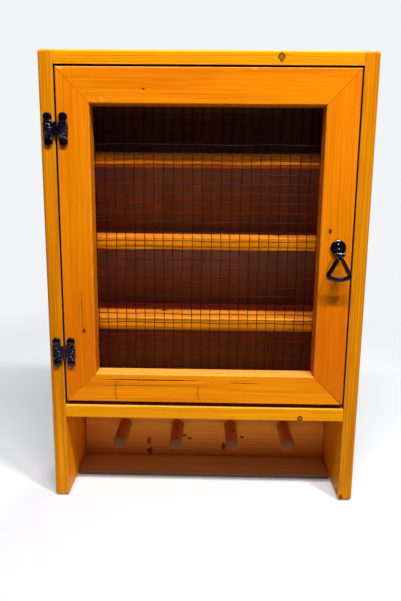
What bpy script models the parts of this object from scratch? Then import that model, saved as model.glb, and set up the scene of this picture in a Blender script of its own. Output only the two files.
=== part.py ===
"""Wall cabinet in stained pine, with a wire front door over an open niche with four pegs.

The case is two full-height sides with boards butted between them and a thin back let in flush.
The door is a mitred frame with welded wire mesh behind it. It hangs inset on two butterfly
hinges at its left edge and has a drop pull on its right stile.

Metres, +Z up. The front faces -Y and the wall is the plane Y = 0. The origin is the centre of
the back panel's rear face.
"""

import math

import bmesh
import bpy
from mathutils import Vector

# Case
CASE_WIDTH = 0.423
CASE_HEIGHT = 0.605
CASE_DEPTH = 0.122
BOARD = 0.018
SIDE_BOARD = 0.0195
EDGE_ROUND = 0.0045
BACK_THICK = 0.004
BACK_RABBET = 0.007
NICHE_HEIGHT = 0.1200
FIT_GAP = 0.0003

# Shelves
SHELF_COUNT = 3
SHELF_SETBACK = 0.033
SHELF_ROUND = 0.003
LOWEST_BAY = 0.0995
SHELF_PITCH = 0.114

# Peg rail, pegs and the ledge under them
RAIL_THICK = 0.018
LEDGE_THICK = 0.005
LEDGE_SETBACK = 0.051
PEG_COUNT = 4
PEG_FROM_SIDE = 0.0655
PEG_HEIGHT = 0.058
PEG_RADIUS = 0.0095
PEG_REACH = 0.057
PEG_ROUND = 0.003

# Door frame
DOOR_THICK = 0.023
STILE_WIDTH = 0.042
TOP_RAIL_WIDTH = 0.0445
BOTTOM_RAIL_WIDTH = 0.0405
DOOR_SIDE_GAP = 0.0017
DOOR_TOP_GAP = 0.0026
DOOR_BOTTOM_GAP = 0.006
DOOR_ROUND = 0.0018

# Wire mesh, drawn at a wider pitch than the real half-inch one
WIRE = 0.0009
WELD_SINK = 0.0002
MESH_LAP = 0.010
MESH_COLUMNS = 15
MESH_ROWS = 18

# Butterfly hinges
HINGE_FROM_TOP = 0.076
HINGE_FROM_BOTTOM = 0.0705
LEAF_THICK = 0.002
LEAF_CHAMFER = 0.0005
LEAF_HALF = 0.0086
LOBE_X = 0.0098
LOBE_Z = 0.0152
LOBE_RADIUS = 0.0058
NECK_X = 0.0046
NECK_Z = 0.0094
NECK_TURN_DEG = 25.0
NOTCH_X = 0.0129
NOTCH_Z = 0.0078
NOTCH_TURN_DEG = 38.0
SPUR_X = 0.0153
SPUR_Z = 0.0092
WING_BULGE = 0.0005
TONGUE_THICK = 0.0016
BARREL_RADIUS = 0.0024
KNUCKLE_HALF = 0.0035
KNUCKLE_GAP = 0.0003
PIN_RADIUS = 0.0011
PIN_CLEARANCE = 0.00012
PIN_HEAD_RADIUS = 0.0018

# Hinge screws
SCREW_HEAD_RADIUS = 0.0028
SCREW_HEAD_HEIGHT = 0.0012
SCREW_RADIUS = 0.0013
SCREW_LENGTH = 0.014

# Drop pull
PULL_DROP = 0.0021
PULL_ASIDE = 0.0024
ROSETTE_RADIUS = 0.0103
ROSETTE_RIM = 0.0024
ROSETTE_GROOVE = 0.0016
DOME_RADIUS = 0.0060
ROSETTE_DOME = 0.0046
EAR_DROP = 0.0077
EAR_REACH = 0.0125
EAR_RADIUS = 0.0030
EAR_THICK = 0.0022
BAIL_EYE_HALF = 0.0027
BAIL_EYE_RADIUS = 0.0030
BAIL_NECK_RADIUS = 0.0026
BAIL_NECK_REACH = 0.0060
BAIL_BAR_RADIUS = 0.0024
BAIL_TOP_HALF = 0.0022
BAIL_TOP_DROP = 0.0050
BAIL_HALF_WIDTH = 0.0159
BAIL_DROP = 0.0350
BAIL_CORNER = 0.0042
BAIL_BOW = 0.0018
BOLT_RADIUS = 0.0020
BOLT_HEAD_RADIUS = 0.0040
BOLT_HEAD_HEIGHT = 0.0022
BOLT_GRIP = 0.0030

# Magnetic catch behind the pull stile
CATCH_LENGTH = 0.046
CATCH_BLOCK_LENGTH = 0.026
CATCH_PROUD = 0.014
CATCH_DEPTH = 0.014
CATCH_FLANGE = 0.0025
STRIKE_WIDTH = 0.010
STRIKE_LENGTH = 0.028
STRIKE_THICK = 0.0012
CATCH_SCREW_RADIUS = 0.0012
CATCH_SCREW_HEAD = 0.0024
CATCH_SCREW_LENGTH = 0.012

# Keyhole hangers let into the rear edge of the top board
HANGER_FROM_SIDE = 0.062
HANGER_LENGTH = 0.042
HANGER_HEIGHT = 0.014
HANGER_THICK = 0.0015
KEYHOLE_RADIUS = 0.0040
KEYHOLE_SLOT = 0.0040
KEYHOLE_RISE = 0.0050
KEYHOLE_POCKET = 0.0090
HANGER_SCREW_X = 0.0155
HANGER_SCREW_RADIUS = 0.0013
HANGER_SCREW_HEAD = 0.0026
HANGER_SCREW_LENGTH = 0.016

# Facets
ROUND_STEPS = 4
ROUND_SIDES = 24
SMALL_SIDES = 16
ARC_STEPS = 10

# Levels and planes that follow from the sizes above
FRONT_Y = -CASE_DEPTH
PANEL_FRONT_Y = -BACK_THICK - FIT_GAP
BASE_Z = -(CASE_HEIGHT - BOARD) / 2
TOP_Z = BASE_Z + CASE_HEIGHT
TOP_UNDER_Z = TOP_Z - BOARD
FLOOR_UNDER_Z = BASE_Z + NICHE_HEIGHT
FLOOR_TOP_Z = FLOOR_UNDER_Z + BOARD
INNER_HALF = CASE_WIDTH / 2 - SIDE_BOARD
RAIL_FRONT_Y = PANEL_FRONT_Y - RAIL_THICK
OUTER_PEG_X = INNER_HALF - PEG_FROM_SIDE

DOOR_HALF = INNER_HALF - DOOR_SIDE_GAP
DOOR_BOTTOM_Z = FLOOR_TOP_Z + DOOR_BOTTOM_GAP
DOOR_TOP_Z = TOP_UNDER_Z - DOOR_TOP_GAP
DOOR_MID_Z = (DOOR_BOTTOM_Z + DOOR_TOP_Z) / 2
DOOR_MID_Y = FRONT_Y + DOOR_THICK / 2
DOOR_BACK_Y = FRONT_Y + DOOR_THICK
WINDOW_HALF = DOOR_HALF - STILE_WIDTH
WINDOW_BOTTOM_Z = DOOR_BOTTOM_Z + BOTTOM_RAIL_WIDTH
WINDOW_TOP_Z = DOOR_TOP_Z - TOP_RAIL_WIDTH

HINGE_X = -INNER_HALF + DOOR_SIDE_GAP / 2
HINGE_Y = FRONT_Y - FIT_GAP - BARREL_RADIUS
LEAF_Y = FRONT_Y - FIT_GAP - LEAF_THICK / 2
LEAF_INNER_X = BARREL_RADIUS + KNUCKLE_GAP
HINGE_LEVELS = {"top": DOOR_TOP_Z - HINGE_FROM_TOP, "bottom": DOOR_BOTTOM_Z + HINGE_FROM_BOTTOM}

PULL_X = DOOR_HALF - STILE_WIDTH / 2 + PULL_ASIDE
PULL_Z = DOOR_MID_Z - PULL_DROP
PULL_BASE_Y = FRONT_Y - FIT_GAP
EAR_Y = PULL_BASE_Y - EAR_REACH
EAR_Z = PULL_Z - EAR_DROP
EAR_X = BAIL_EYE_HALF + FIT_GAP + EAR_THICK / 2

CATCH_FRONT_Y = DOOR_BACK_Y + FIT_GAP + STRIKE_THICK + FIT_GAP
CATCH_Z = FLOOR_TOP_Z + LOWEST_BAY + 2 * SHELF_PITCH - (SHELF_PITCH - BOARD) / 2
CATCH_SCREW_Z = (CATCH_LENGTH + CATCH_BLOCK_LENGTH) / 4

HANGER_X = INNER_HALF - HANGER_FROM_SIDE
HANGER_Z = TOP_Z - BOARD / 2

FRONT_TOP = ("front", "top")
FRONT_BOTTOM = ("front", "bottom")
FACE_NAMES = {
    (-1, 0, 0): "left",
    (1, 0, 0): "right",
    (0, -1, 0): "front",
    (0, 1, 0): "back",
    (0, 0, -1): "bottom",
    (0, 0, 1): "top",
}
ALONG_X = (1, 0, 0)
ALONG_Y = (0, 1, 0)
TO_FRONT = (0, -1, 0)
TO_REAR = (0, 1, 0)
UP = (0, 0, 1)


def clear_scene():
    for old in list(bpy.data.objects):
        bpy.data.objects.remove(old, do_unlink=True)


def new_collection(name):
    made = bpy.data.collections.new(name)
    bpy.context.scene.collection.children.link(made)
    return made


def new_finish(name, colour, roughness, metallic=0.0):
    finish = bpy.data.materials.new(name)
    finish.use_nodes = True
    shader = finish.node_tree.nodes["Principled BSDF"]
    shader.inputs["Base Color"].default_value = (*colour, 1.0)
    shader.inputs["Roughness"].default_value = roughness
    shader.inputs["Metallic"].default_value = metallic
    finish.diffuse_color = (*colour, 1.0)
    return finish


clear_scene()
PARTS = new_collection("wall_cabinet")
CUTTERS = new_collection("cutters")
PINE = new_finish("honey_stained_pine", (0.72, 0.30, 0.04), 0.42)
DARK_PANEL = new_finish("brown_back_panel", (0.16, 0.06, 0.025), 0.60)
RAW_PEG = new_finish("stained_dowel", (0.55, 0.24, 0.06), 0.48)
GALVANISED = new_finish("galvanised_wire", (0.45, 0.45, 0.44), 0.40, 1.0)
BLACK_IRON = new_finish("black_cast_iron", (0.012, 0.012, 0.016), 0.28, 0.6)
STEEL = new_finish("zinc_plated_steel", (0.62, 0.62, 0.60), 0.35, 1.0)
CATCH_PLASTIC = new_finish("brown_catch_plastic", (0.20, 0.10, 0.05), 0.50)


def place(part, location, parent=None, direction=UP):
    """Puts a part at a world location with its own Z along a direction, under an unturned parent."""
    part.rotation_euler = Vector(UP).rotation_difference(Vector(direction)).to_euler()
    part.location = location
    if parent:
        part.parent = parent
        part.location = Vector(location) - parent.matrix_world.translation
    bpy.context.view_layer.update()
    return part


def add_part(name, mesh, finish, location, parent=None, direction=UP):
    mesh.materials.append(finish)
    mesh.name = name
    part = bpy.data.objects.new(name, mesh)
    PARTS.objects.link(part)
    return place(part, location, parent, direction)


def add_pivot(name, location, parent=None):
    pivot = bpy.data.objects.new(name, None)
    pivot.empty_display_size = 0.03
    PARTS.objects.link(pivot)
    return place(pivot, location, parent)


def mesh_from(form, name):
    mesh = bpy.data.meshes.new(name)
    form.to_mesh(mesh)
    form.free()
    return mesh


def edges_between(form, pairs):
    """The edges of a box where the named pairs of its faces meet."""
    form.normal_update()
    wanted = {frozenset(pair) for pair in pairs}
    chosen = []
    for edge in form.edges:
        sides = {FACE_NAMES[tuple(round(v) for v in face.normal)] for face in edge.link_faces}
        if frozenset(sides) in wanted:
            chosen.append(edge)
    return chosen


def box_form(size, rounded=(), radius=EDGE_ROUND):
    """A box about its own centre, with the edges between the named faces rounded over."""
    form = bmesh.new()
    bmesh.ops.create_cube(form, size=1.0)
    bmesh.ops.scale(form, vec=size, verts=form.verts)
    if rounded:
        bmesh.ops.bevel(
            form,
            geom=edges_between(form, rounded),
            offset=min(radius, min(size) * 0.45),
            segments=ROUND_STEPS,
            affect="EDGES",
            profile=0.5,
            material=-1,
        )
    return form


def add_board(name, low, high, finish=PINE, rounded=(), radius=EDGE_ROUND, parent=None):
    """A board between two world corners."""
    size = [b - a for a, b in zip(low, high)]
    middle = [(a + b) / 2 for a, b in zip(low, high)]
    return add_part(name, mesh_from(box_form(size, rounded, radius), name), finish, middle, parent)


def add_turned(name, profile, finish, location, direction, parent=None, sides=ROUND_SIDES):
    """A solid turned about its own Z axis from (radius, height) points listed from the top down."""
    form = bmesh.new()
    points = [form.verts.new((radius, 0.0, height)) for radius, height in profile]
    for upper, lower in zip(points, points[1:]):
        form.edges.new((upper, lower))
    part = add_part(name, mesh_from(form, name), finish, location, parent, direction)
    lathe = part.modifiers.new("lathe", "SCREW")
    lathe.steps = sides
    lathe.render_steps = sides
    lathe.use_merge_vertices = True
    lathe.merge_threshold = 0.00001
    lathe.use_smooth_shade = True
    return part


def arc(centre, radius, start_deg, end_deg, steps=ARC_STEPS):
    """Points along an arc in the plane, both ends included."""
    turns = [math.radians(start_deg + (end_deg - start_deg) * i / steps) for i in range(steps + 1)]
    return [(centre[0] + radius * math.cos(a), centre[1] + radius * math.sin(a)) for a in turns]


def mesh_of_curve(curve, name):
    """A curve's closed solid as a mesh, with its loose caps welded on."""
    guide = bpy.data.objects.new(name, curve)
    CUTTERS.objects.link(guide)
    bpy.context.view_layer.update()
    graph = bpy.context.evaluated_depsgraph_get()
    mesh = bpy.data.meshes.new_from_object(guide.evaluated_get(graph))
    bpy.data.objects.remove(guide, do_unlink=True)
    form = bmesh.new()
    form.from_mesh(mesh)
    bpy.data.meshes.remove(mesh)
    bmesh.ops.remove_doubles(form, verts=form.verts, dist=0.000005)
    bmesh.ops.recalc_face_normals(form, faces=form.faces)
    return mesh_from(form, name)


def poly_curve(name, points, dimensions="2D", closed=True):
    curve = bpy.data.curves.new(name, "CURVE")
    curve.dimensions = dimensions
    line = curve.splines.new("POLY")
    line.points.add(len(points) - 1)
    for target, point in zip(line.points, points):
        target.co = (*point, 0.0, 1.0) if len(point) == 2 else (*point, 1.0)
    line.use_cyclic_u = closed
    return curve


def plate_mesh(name, outline, thickness, chamfer=0.0):
    """A flat outline in its own XY plane, as thick as said, with its rims chamfered inside the outline."""
    curve = poly_curve(name, outline)
    curve.fill_mode = "BOTH"
    curve.extrude = thickness / 2 - chamfer
    curve.bevel_depth = chamfer
    curve.bevel_resolution = 0
    curve.offset = -chamfer
    return mesh_of_curve(curve, name)


def as_helper(part):
    PARTS.objects.unlink(part)
    CUTTERS.objects.link(part)
    part.hide_render = True
    part.display_type = "WIRE"
    return part


def combine(part, helper, operation):
    step = part.modifiers.new(helper.name, "BOOLEAN")
    step.operation = operation
    step.solver = "EXACT"
    step.object = helper


def cut(part, helper):
    combine(part, helper, "DIFFERENCE")


def join(part, helper):
    combine(part, helper, "UNION")


def box_helper(name, low, high, parent=None):
    return as_helper(add_board(name, low, high, PINE, parent=parent))


def rod_helper(name, radius, length, middle, direction, parent=None, sides=ROUND_SIDES):
    form = bmesh.new()
    bmesh.ops.create_cone(
        form, cap_ends=True, segments=sides, radius1=radius, radius2=radius, depth=length
    )
    return as_helper(add_part(name, mesh_from(form, name), PINE, middle, parent, direction))


def smooth_over(part, angle_deg=40.0):
    part.data.shade_smooth()
    part.data.set_sharp_from_angle(angle=math.radians(angle_deg))


def build_case():
    """Sides, top, floor, shelves, back, peg rail, pegs and ledge."""
    sides = {}
    for name, outer, hand in (("left_side", "left", -1), ("right_side", "right", 1)):
        inner = "right" if outer == "left" else "left"
        rounded = (FRONT_TOP, FRONT_BOTTOM, ("front", outer), (outer, "top"), (outer, "bottom"))
        rounded += ((inner, "bottom"),)
        near, far = sorted((hand * INNER_HALF, hand * CASE_WIDTH / 2))
        side = add_board(name, (near, FRONT_Y, BASE_Z), (far, 0, TOP_Z), rounded=rounded)
        rabbet_x = sorted((hand * (INNER_HALF - BOARD), hand * (INNER_HALF + BACK_RABBET)))
        cut(
            side,
            box_helper(
                name + "_rabbet",
                (rabbet_x[0], PANEL_FRONT_Y, BASE_Z - BOARD),
                (rabbet_x[1], BOARD, TOP_UNDER_Z),
            ),
        )
        sides[name] = side

    between = INNER_HALF - FIT_GAP
    add_board(
        "floor_board",
        (-between, FRONT_Y, FLOOR_UNDER_Z),
        (between, PANEL_FRONT_Y - FIT_GAP, FLOOR_TOP_Z),
        rounded=(FRONT_TOP, FRONT_BOTTOM),
        radius=SHELF_ROUND / 2,
    )
    shelf_names = ("shelf_lower", "shelf_middle", "shelf_upper")
    for level, name in enumerate(shelf_names[:SHELF_COUNT]):
        under = FLOOR_TOP_Z + LOWEST_BAY + level * SHELF_PITCH
        add_board(
            name,
            (-between, FRONT_Y + SHELF_SETBACK, under),
            (between, PANEL_FRONT_Y - FIT_GAP, under + BOARD),
            rounded=(FRONT_TOP, FRONT_BOTTOM),
            radius=SHELF_ROUND,
        )
    panel_half = INNER_HALF + BACK_RABBET - FIT_GAP
    add_board(
        "back_panel",
        (-panel_half, -BACK_THICK, BASE_Z),
        (panel_half, 0, TOP_UNDER_Z - FIT_GAP),
        DARK_PANEL,
    )
    add_board(
        "lower_ledge",
        (-between, FRONT_Y + LEDGE_SETBACK, BASE_Z),
        (between, PANEL_FRONT_Y - FIT_GAP, BASE_Z + LEDGE_THICK),
        rounded=(FRONT_TOP,),
        radius=LEDGE_THICK / 4,
    )
    return sides


def build_top_board():
    """The top board, with a pocket in its rear edge for each keyhole hanger."""
    between = INNER_HALF - FIT_GAP
    top = add_board(
        "top_board",
        (-between, FRONT_Y, TOP_UNDER_Z),
        (between, 0, TOP_Z),
        rounded=(FRONT_TOP,),
    )
    for name, hand in (("left", -1), ("right", 1)):
        build_hanger(name, hand * HANGER_X, top)


def build_hanger(name, middle_x, top):
    """A flush steel plate with a keyhole, two countersunk screws and the room that they need."""
    half = HANGER_LENGTH / 2
    half_height = HANGER_HEIGHT / 2
    plate = add_board(
        "hanger_" + name,
        (middle_x - half, -HANGER_THICK, HANGER_Z - half_height),
        (middle_x + half, 0, HANGER_Z + half_height),
        STEEL,
    )
    cut(
        top,
        box_helper(
            f"hanger_{name}_seat",
            (middle_x - half - FIT_GAP, -HANGER_THICK - FIT_GAP, HANGER_Z - half_height - FIT_GAP),
            (middle_x + half + FIT_GAP, BOARD, HANGER_Z + half_height + FIT_GAP),
        ),
    )
    eye_z = HANGER_Z - KEYHOLE_RISE / 2
    eye = rod_helper(
        f"hanger_{name}_eye", KEYHOLE_RADIUS, BOARD, (middle_x, 0, eye_z), ALONG_Y, sides=SMALL_SIDES
    )
    slot = box_helper(
        f"hanger_{name}_slot",
        (middle_x - KEYHOLE_SLOT / 2, -BOARD, eye_z),
        (middle_x + KEYHOLE_SLOT / 2, BOARD, eye_z + KEYHOLE_RISE),
    )
    cut(plate, eye)
    cut(plate, slot)
    cut(
        top,
        box_helper(
            f"hanger_{name}_pocket",
            (middle_x - KEYHOLE_RADIUS, -KEYHOLE_POCKET, eye_z - KEYHOLE_RADIUS),
            (middle_x + KEYHOLE_RADIUS, BOARD, eye_z + KEYHOLE_RISE + KEYHOLE_RADIUS / 2),
        ),
    )
    for number, hand in ((1, -1), (2, 1)):
        screw_name = f"hanger_{name}_screw_{number}"
        place_x = middle_x + hand * HANGER_SCREW_X
        head_depth = HANGER_SCREW_HEAD - HANGER_SCREW_RADIUS
        profile = [
            (0, 0),
            (HANGER_SCREW_HEAD, 0),
            (HANGER_SCREW_RADIUS, -head_depth),
            (HANGER_SCREW_RADIUS, -HANGER_SCREW_LENGTH + HANGER_SCREW_RADIUS),
            (0, -HANGER_SCREW_LENGTH),
        ]
        spot = (place_x, -FIT_GAP, HANGER_Z)
        add_turned(screw_name, profile, STEEL, spot, TO_REAR, sides=SMALL_SIDES)
        hole = [
            (0, FIT_GAP * 2),
            (HANGER_SCREW_HEAD + FIT_GAP * 3, FIT_GAP * 2),
            (HANGER_SCREW_RADIUS + FIT_GAP, -head_depth),
            (HANGER_SCREW_RADIUS + FIT_GAP, -HANGER_SCREW_LENGTH - FIT_GAP),
            (0, -HANGER_SCREW_LENGTH - FIT_GAP),
        ]
        helper = as_helper(add_turned(screw_name + "_hole", hole, STEEL, spot, TO_REAR, sides=SMALL_SIDES))
        cut(plate, helper)
        cut(top, helper)


def build_pegs():
    """The peg rail and its round pegs, which run through it to the back panel."""
    between = INNER_HALF - FIT_GAP
    rail = add_board(
        "peg_rail",
        (-between, RAIL_FRONT_Y, BASE_Z + LEDGE_THICK + FIT_GAP),
        (between, PANEL_FRONT_Y - FIT_GAP, FLOOR_UNDER_Z - FIT_GAP),
    )
    length = PEG_REACH + RAIL_THICK
    profile = [(0, length)]
    profile += [
        (PEG_RADIUS - PEG_ROUND + radius, height)
        for radius, height in arc((0, length - PEG_ROUND), PEG_ROUND, 90, 0, ROUND_STEPS)
    ]
    profile += [(PEG_RADIUS, 0), (0, 0)]
    for number in range(PEG_COUNT):
        peg_x = OUTER_PEG_X * (2 * number / (PEG_COUNT - 1) - 1)
        peg_z = BASE_Z + PEG_HEIGHT
        name = f"peg_{number + 1}"
        root = (peg_x, RAIL_FRONT_Y + RAIL_THICK - FIT_GAP * 2, peg_z)
        add_turned(name, profile, RAW_PEG, root, TO_FRONT)
        bore_middle = (peg_x, RAIL_FRONT_Y + RAIL_THICK / 2, peg_z)
        cut(rail, rod_helper(name + "_bore", PEG_RADIUS + FIT_GAP, RAIL_THICK * 2, bore_middle, ALONG_Y))


def add_lath(name, low, high, mitres, parent):
    """A door lath between two world corners, cut by planes through the frame's corners."""
    size = [b - a for a, b in zip(low, high)]
    middle = Vector([(a + b) / 2 for a, b in zip(low, high)])
    across = ("bottom", "top") if size[0] > size[2] else ("left", "right")
    rounded = [(face, edge) for face in ("front", "back") for edge in across]
    form = box_form(size, rounded, DOOR_ROUND)
    for corner, outward in mitres:
        slab = bmesh.ops.bisect_plane(
            form,
            geom=form.verts[:] + form.edges[:] + form.faces[:],
            dist=0.0000001,
            plane_co=Vector(corner) - middle - Vector(outward).normalized() * FIT_GAP / 2,
            plane_no=outward,
            clear_outer=True,
        )
        rim = [item for item in slab["geom_cut"] if isinstance(item, bmesh.types.BMEdge)]
        bmesh.ops.holes_fill(form, edges=rim)
    bmesh.ops.recalc_face_normals(form, faces=form.faces)
    return add_part(name, mesh_from(form, name), PINE, middle, parent)


def build_door_frame(door):
    """Two stiles and two rails that meet in mitres from the frame's outer to its inner corners."""
    rail_width = {"bottom": BOTTOM_RAIL_WIDTH, "top": TOP_RAIL_WIDTH}
    edge_z = {"bottom": DOOR_BOTTOM_Z, "top": DOOR_TOP_Z}

    def mitre(side, level, ends_stile):
        """The frame's outer corner, and the direction out of the piece that the mitre ends."""
        inward_x = 1 if side == "left" else -1
        inward_z = 1 if level == "bottom" else -1
        corner = (-inward_x * DOOR_HALF, DOOR_MID_Y, edge_z[level])
        toward_stile = Vector((-inward_x * rail_width[level], 0, inward_z * STILE_WIDTH))
        return corner, -toward_stile if ends_stile else toward_stile

    def stile(name, side, near, far):
        mitres = [mitre(side, "bottom", True), mitre(side, "top", True)]
        low = (near, FRONT_Y, DOOR_BOTTOM_Z)
        return add_lath(name, low, (far, DOOR_BACK_Y, DOOR_TOP_Z), mitres, door)

    def rail(name, level, low_z, high_z):
        mitres = [mitre("left", level, False), mitre("right", level, False)]
        low = (-DOOR_HALF, FRONT_Y, low_z)
        return add_lath(name, low, (DOOR_HALF, DOOR_BACK_Y, high_z), mitres, door)

    hinge_stile = stile("door_stile_hinge", "left", -DOOR_HALF, -WINDOW_HALF)
    pull_stile = stile("door_stile_pull", "right", WINDOW_HALF, DOOR_HALF)
    rail("door_rail_bottom", "bottom", DOOR_BOTTOM_Z, WINDOW_BOTTOM_Z)
    rail("door_rail_top", "top", WINDOW_TOP_Z, DOOR_TOP_Z)
    return hinge_stile, pull_stile


def wires(name, layer_y, spots, size, along):
    """One layer of straight wires as separate bars in one mesh."""
    form = bmesh.new()
    for spot in spots:
        bar = bmesh.ops.create_cube(form, size=1.0)["verts"]
        bmesh.ops.scale(form, vec=size, verts=bar)
        shift = (spot, layer_y, 0) if along == "z" else (0, layer_y, spot)
        bmesh.ops.translate(form, vec=shift, verts=bar)
    return mesh_from(form, name)


def build_mesh(door):
    """Welded wire mesh: a layer of upright wires behind a layer of level ones, fused where they cross."""
    half_width = WINDOW_HALF + MESH_LAP
    half_height = (WINDOW_TOP_Z - WINDOW_BOTTOM_Z) / 2 + MESH_LAP
    middle = (0, DOOR_BACK_Y + FIT_GAP + WIRE / 2, (WINDOW_TOP_Z + WINDOW_BOTTOM_Z) / 2)
    half_run = {"x": half_width - WIRE, "z": half_height - WIRE}
    columns = [half_run["x"] * (2 * i / MESH_COLUMNS - 1) for i in range(MESH_COLUMNS + 1)]
    rows = [half_run["z"] * (2 * i / MESH_ROWS - 1) for i in range(MESH_ROWS + 1)]
    level = wires("level_wires", 0, rows, (half_width * 2, WIRE, WIRE), "x")
    upright = wires("upright_wires", WIRE - WELD_SINK, columns, (WIRE, WIRE, half_height * 2), "z")
    sheet = add_part("wire_mesh", level, GALVANISED, middle, door)
    join(sheet, as_helper(add_part("upright_wires", upright, GALVANISED, middle, door)))


def leaf_outline(hand):
    """One wing of the butterfly: two lobes on necks, with a notch between each lobe and its spur."""
    lower = [(LEAF_INNER_X, -LEAF_HALF), (NECK_X, -NECK_Z)]
    lower += arc((LOBE_X, -LOBE_Z), LOBE_RADIUS, 180 - NECK_TURN_DEG, 360 + NOTCH_TURN_DEG)
    lower += [(NOTCH_X, -NOTCH_Z), (SPUR_X, -SPUR_Z), (SPUR_X + WING_BULGE, -SPUR_Z / 2)]
    upper = [(x, -z) for x, z in reversed(lower)]
    return [(hand * x, z) for x, z in lower + upper]


def knuckle_spans(on_door):
    """The stretches of the barrel that a leaf holds: the middle one, or the two outer ones."""
    if on_door:
        return [(-KNUCKLE_HALF, KNUCKLE_HALF)]
    start = KNUCKLE_HALF + KNUCKLE_GAP
    return [(-LEAF_HALF, -start), (start, LEAF_HALF)]


def build_leaf(name, level_z, hand, on_door, parent, wood):
    """A cast leaf with its share of the barrel, and a dome-headed screw through each lobe."""
    mesh = plate_mesh(name, leaf_outline(hand), LEAF_THICK, LEAF_CHAMFER)
    leaf = add_part(name, mesh, BLACK_IRON, (HINGE_X, LEAF_Y, level_z), parent, TO_FRONT)
    leaf.rotation_euler = (math.pi / 2, 0, 0)
    bpy.context.view_layer.update()
    for number, (low, high) in enumerate(knuckle_spans(on_door)):
        reach = sorted((HINGE_X, HINGE_X + hand * (LEAF_INNER_X + LEAF_THICK)))
        strap = box_helper(
            f"{name}_tongue_{number}",
            (reach[0], LEAF_Y - TONGUE_THICK / 2, level_z + low + KNUCKLE_GAP),
            (reach[1], LEAF_Y + TONGUE_THICK / 2, level_z + high - KNUCKLE_GAP),
            parent,
        )
        middle = (HINGE_X, HINGE_Y, level_z + (low + high) / 2)
        barrel = rod_helper(f"{name}_barrel_{number}", BARREL_RADIUS, high - low, middle, UP, parent)
        join(leaf, barrel)
        join(leaf, strap)
    bore_radius = PIN_RADIUS + PIN_CLEARANCE
    axis_spot = (HINGE_X, HINGE_Y, level_z)
    cut(leaf, rod_helper(name + "_bore", bore_radius, LEAF_HALF * 4, axis_spot, UP, parent))
    for spot_name, lobe in (("upper", 1), ("lower", -1)):
        screw_name = f"{name}_screw_{spot_name}"
        spot_x = HINGE_X + hand * LOBE_X
        spot_z = level_z + lobe * LOBE_Z
        seat_y = FRONT_Y - FIT_GAP - LEAF_THICK - FIT_GAP
        build_screw(screw_name, (spot_x, seat_y, spot_z), parent)
        hole_middle = (spot_x, FRONT_Y, spot_z)
        hole_length = 2 * SCREW_LENGTH + LEAF_THICK
        hole = rod_helper(
            screw_name + "_hole",
            SCREW_RADIUS + FIT_GAP,
            hole_length,
            hole_middle,
            ALONG_Y,
            parent,
            SMALL_SIDES,
        )
        cut(leaf, hole)
        cut(wood, hole)


def build_screw(name, seat, parent):
    """A dome-headed wood screw whose head faces the front."""
    dome = (SCREW_HEAD_RADIUS**2 + SCREW_HEAD_HEIGHT**2) / (2 * SCREW_HEAD_HEIGHT)
    rim_turn = math.degrees(math.asin(SCREW_HEAD_RADIUS / dome))
    profile = arc((0, SCREW_HEAD_HEIGHT - dome), dome, 90, 90 - rim_turn, ROUND_STEPS)
    profile[0] = (0, SCREW_HEAD_HEIGHT)
    profile += [
        (SCREW_RADIUS, 0),
        (SCREW_RADIUS, SCREW_RADIUS - SCREW_LENGTH),
        (0, -SCREW_LENGTH),
    ]
    add_turned(name, profile, BLACK_IRON, seat, TO_FRONT, parent, SMALL_SIDES)


def build_hinge_pin(name, level_z):
    """A pin with a ball at each end, which keep it in the barrel."""
    end = LEAF_HALF + KNUCKLE_GAP
    ball = arc((0, end + PIN_HEAD_RADIUS / 2), PIN_HEAD_RADIUS, 90, -30, 5)
    ball[0] = (0, end + PIN_HEAD_RADIUS * 1.5)
    upper = ball + [(PIN_RADIUS, end)]
    lower = [(radius, -height) for radius, height in reversed(upper)]
    add_turned(name, upper + lower, BLACK_IRON, (HINGE_X, HINGE_Y, level_z), UP, sides=SMALL_SIDES)


def build_hinges(door, left_side, hinge_stile):
    for place_name, level_z in HINGE_LEVELS.items():
        name = f"hinge_{place_name}"
        build_leaf(name + "_case_leaf", level_z, -1, False, None, left_side)
        build_leaf(name + "_door_leaf", level_z, 1, True, door, hinge_stile)
        build_hinge_pin(name + "_pin", level_z)


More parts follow.
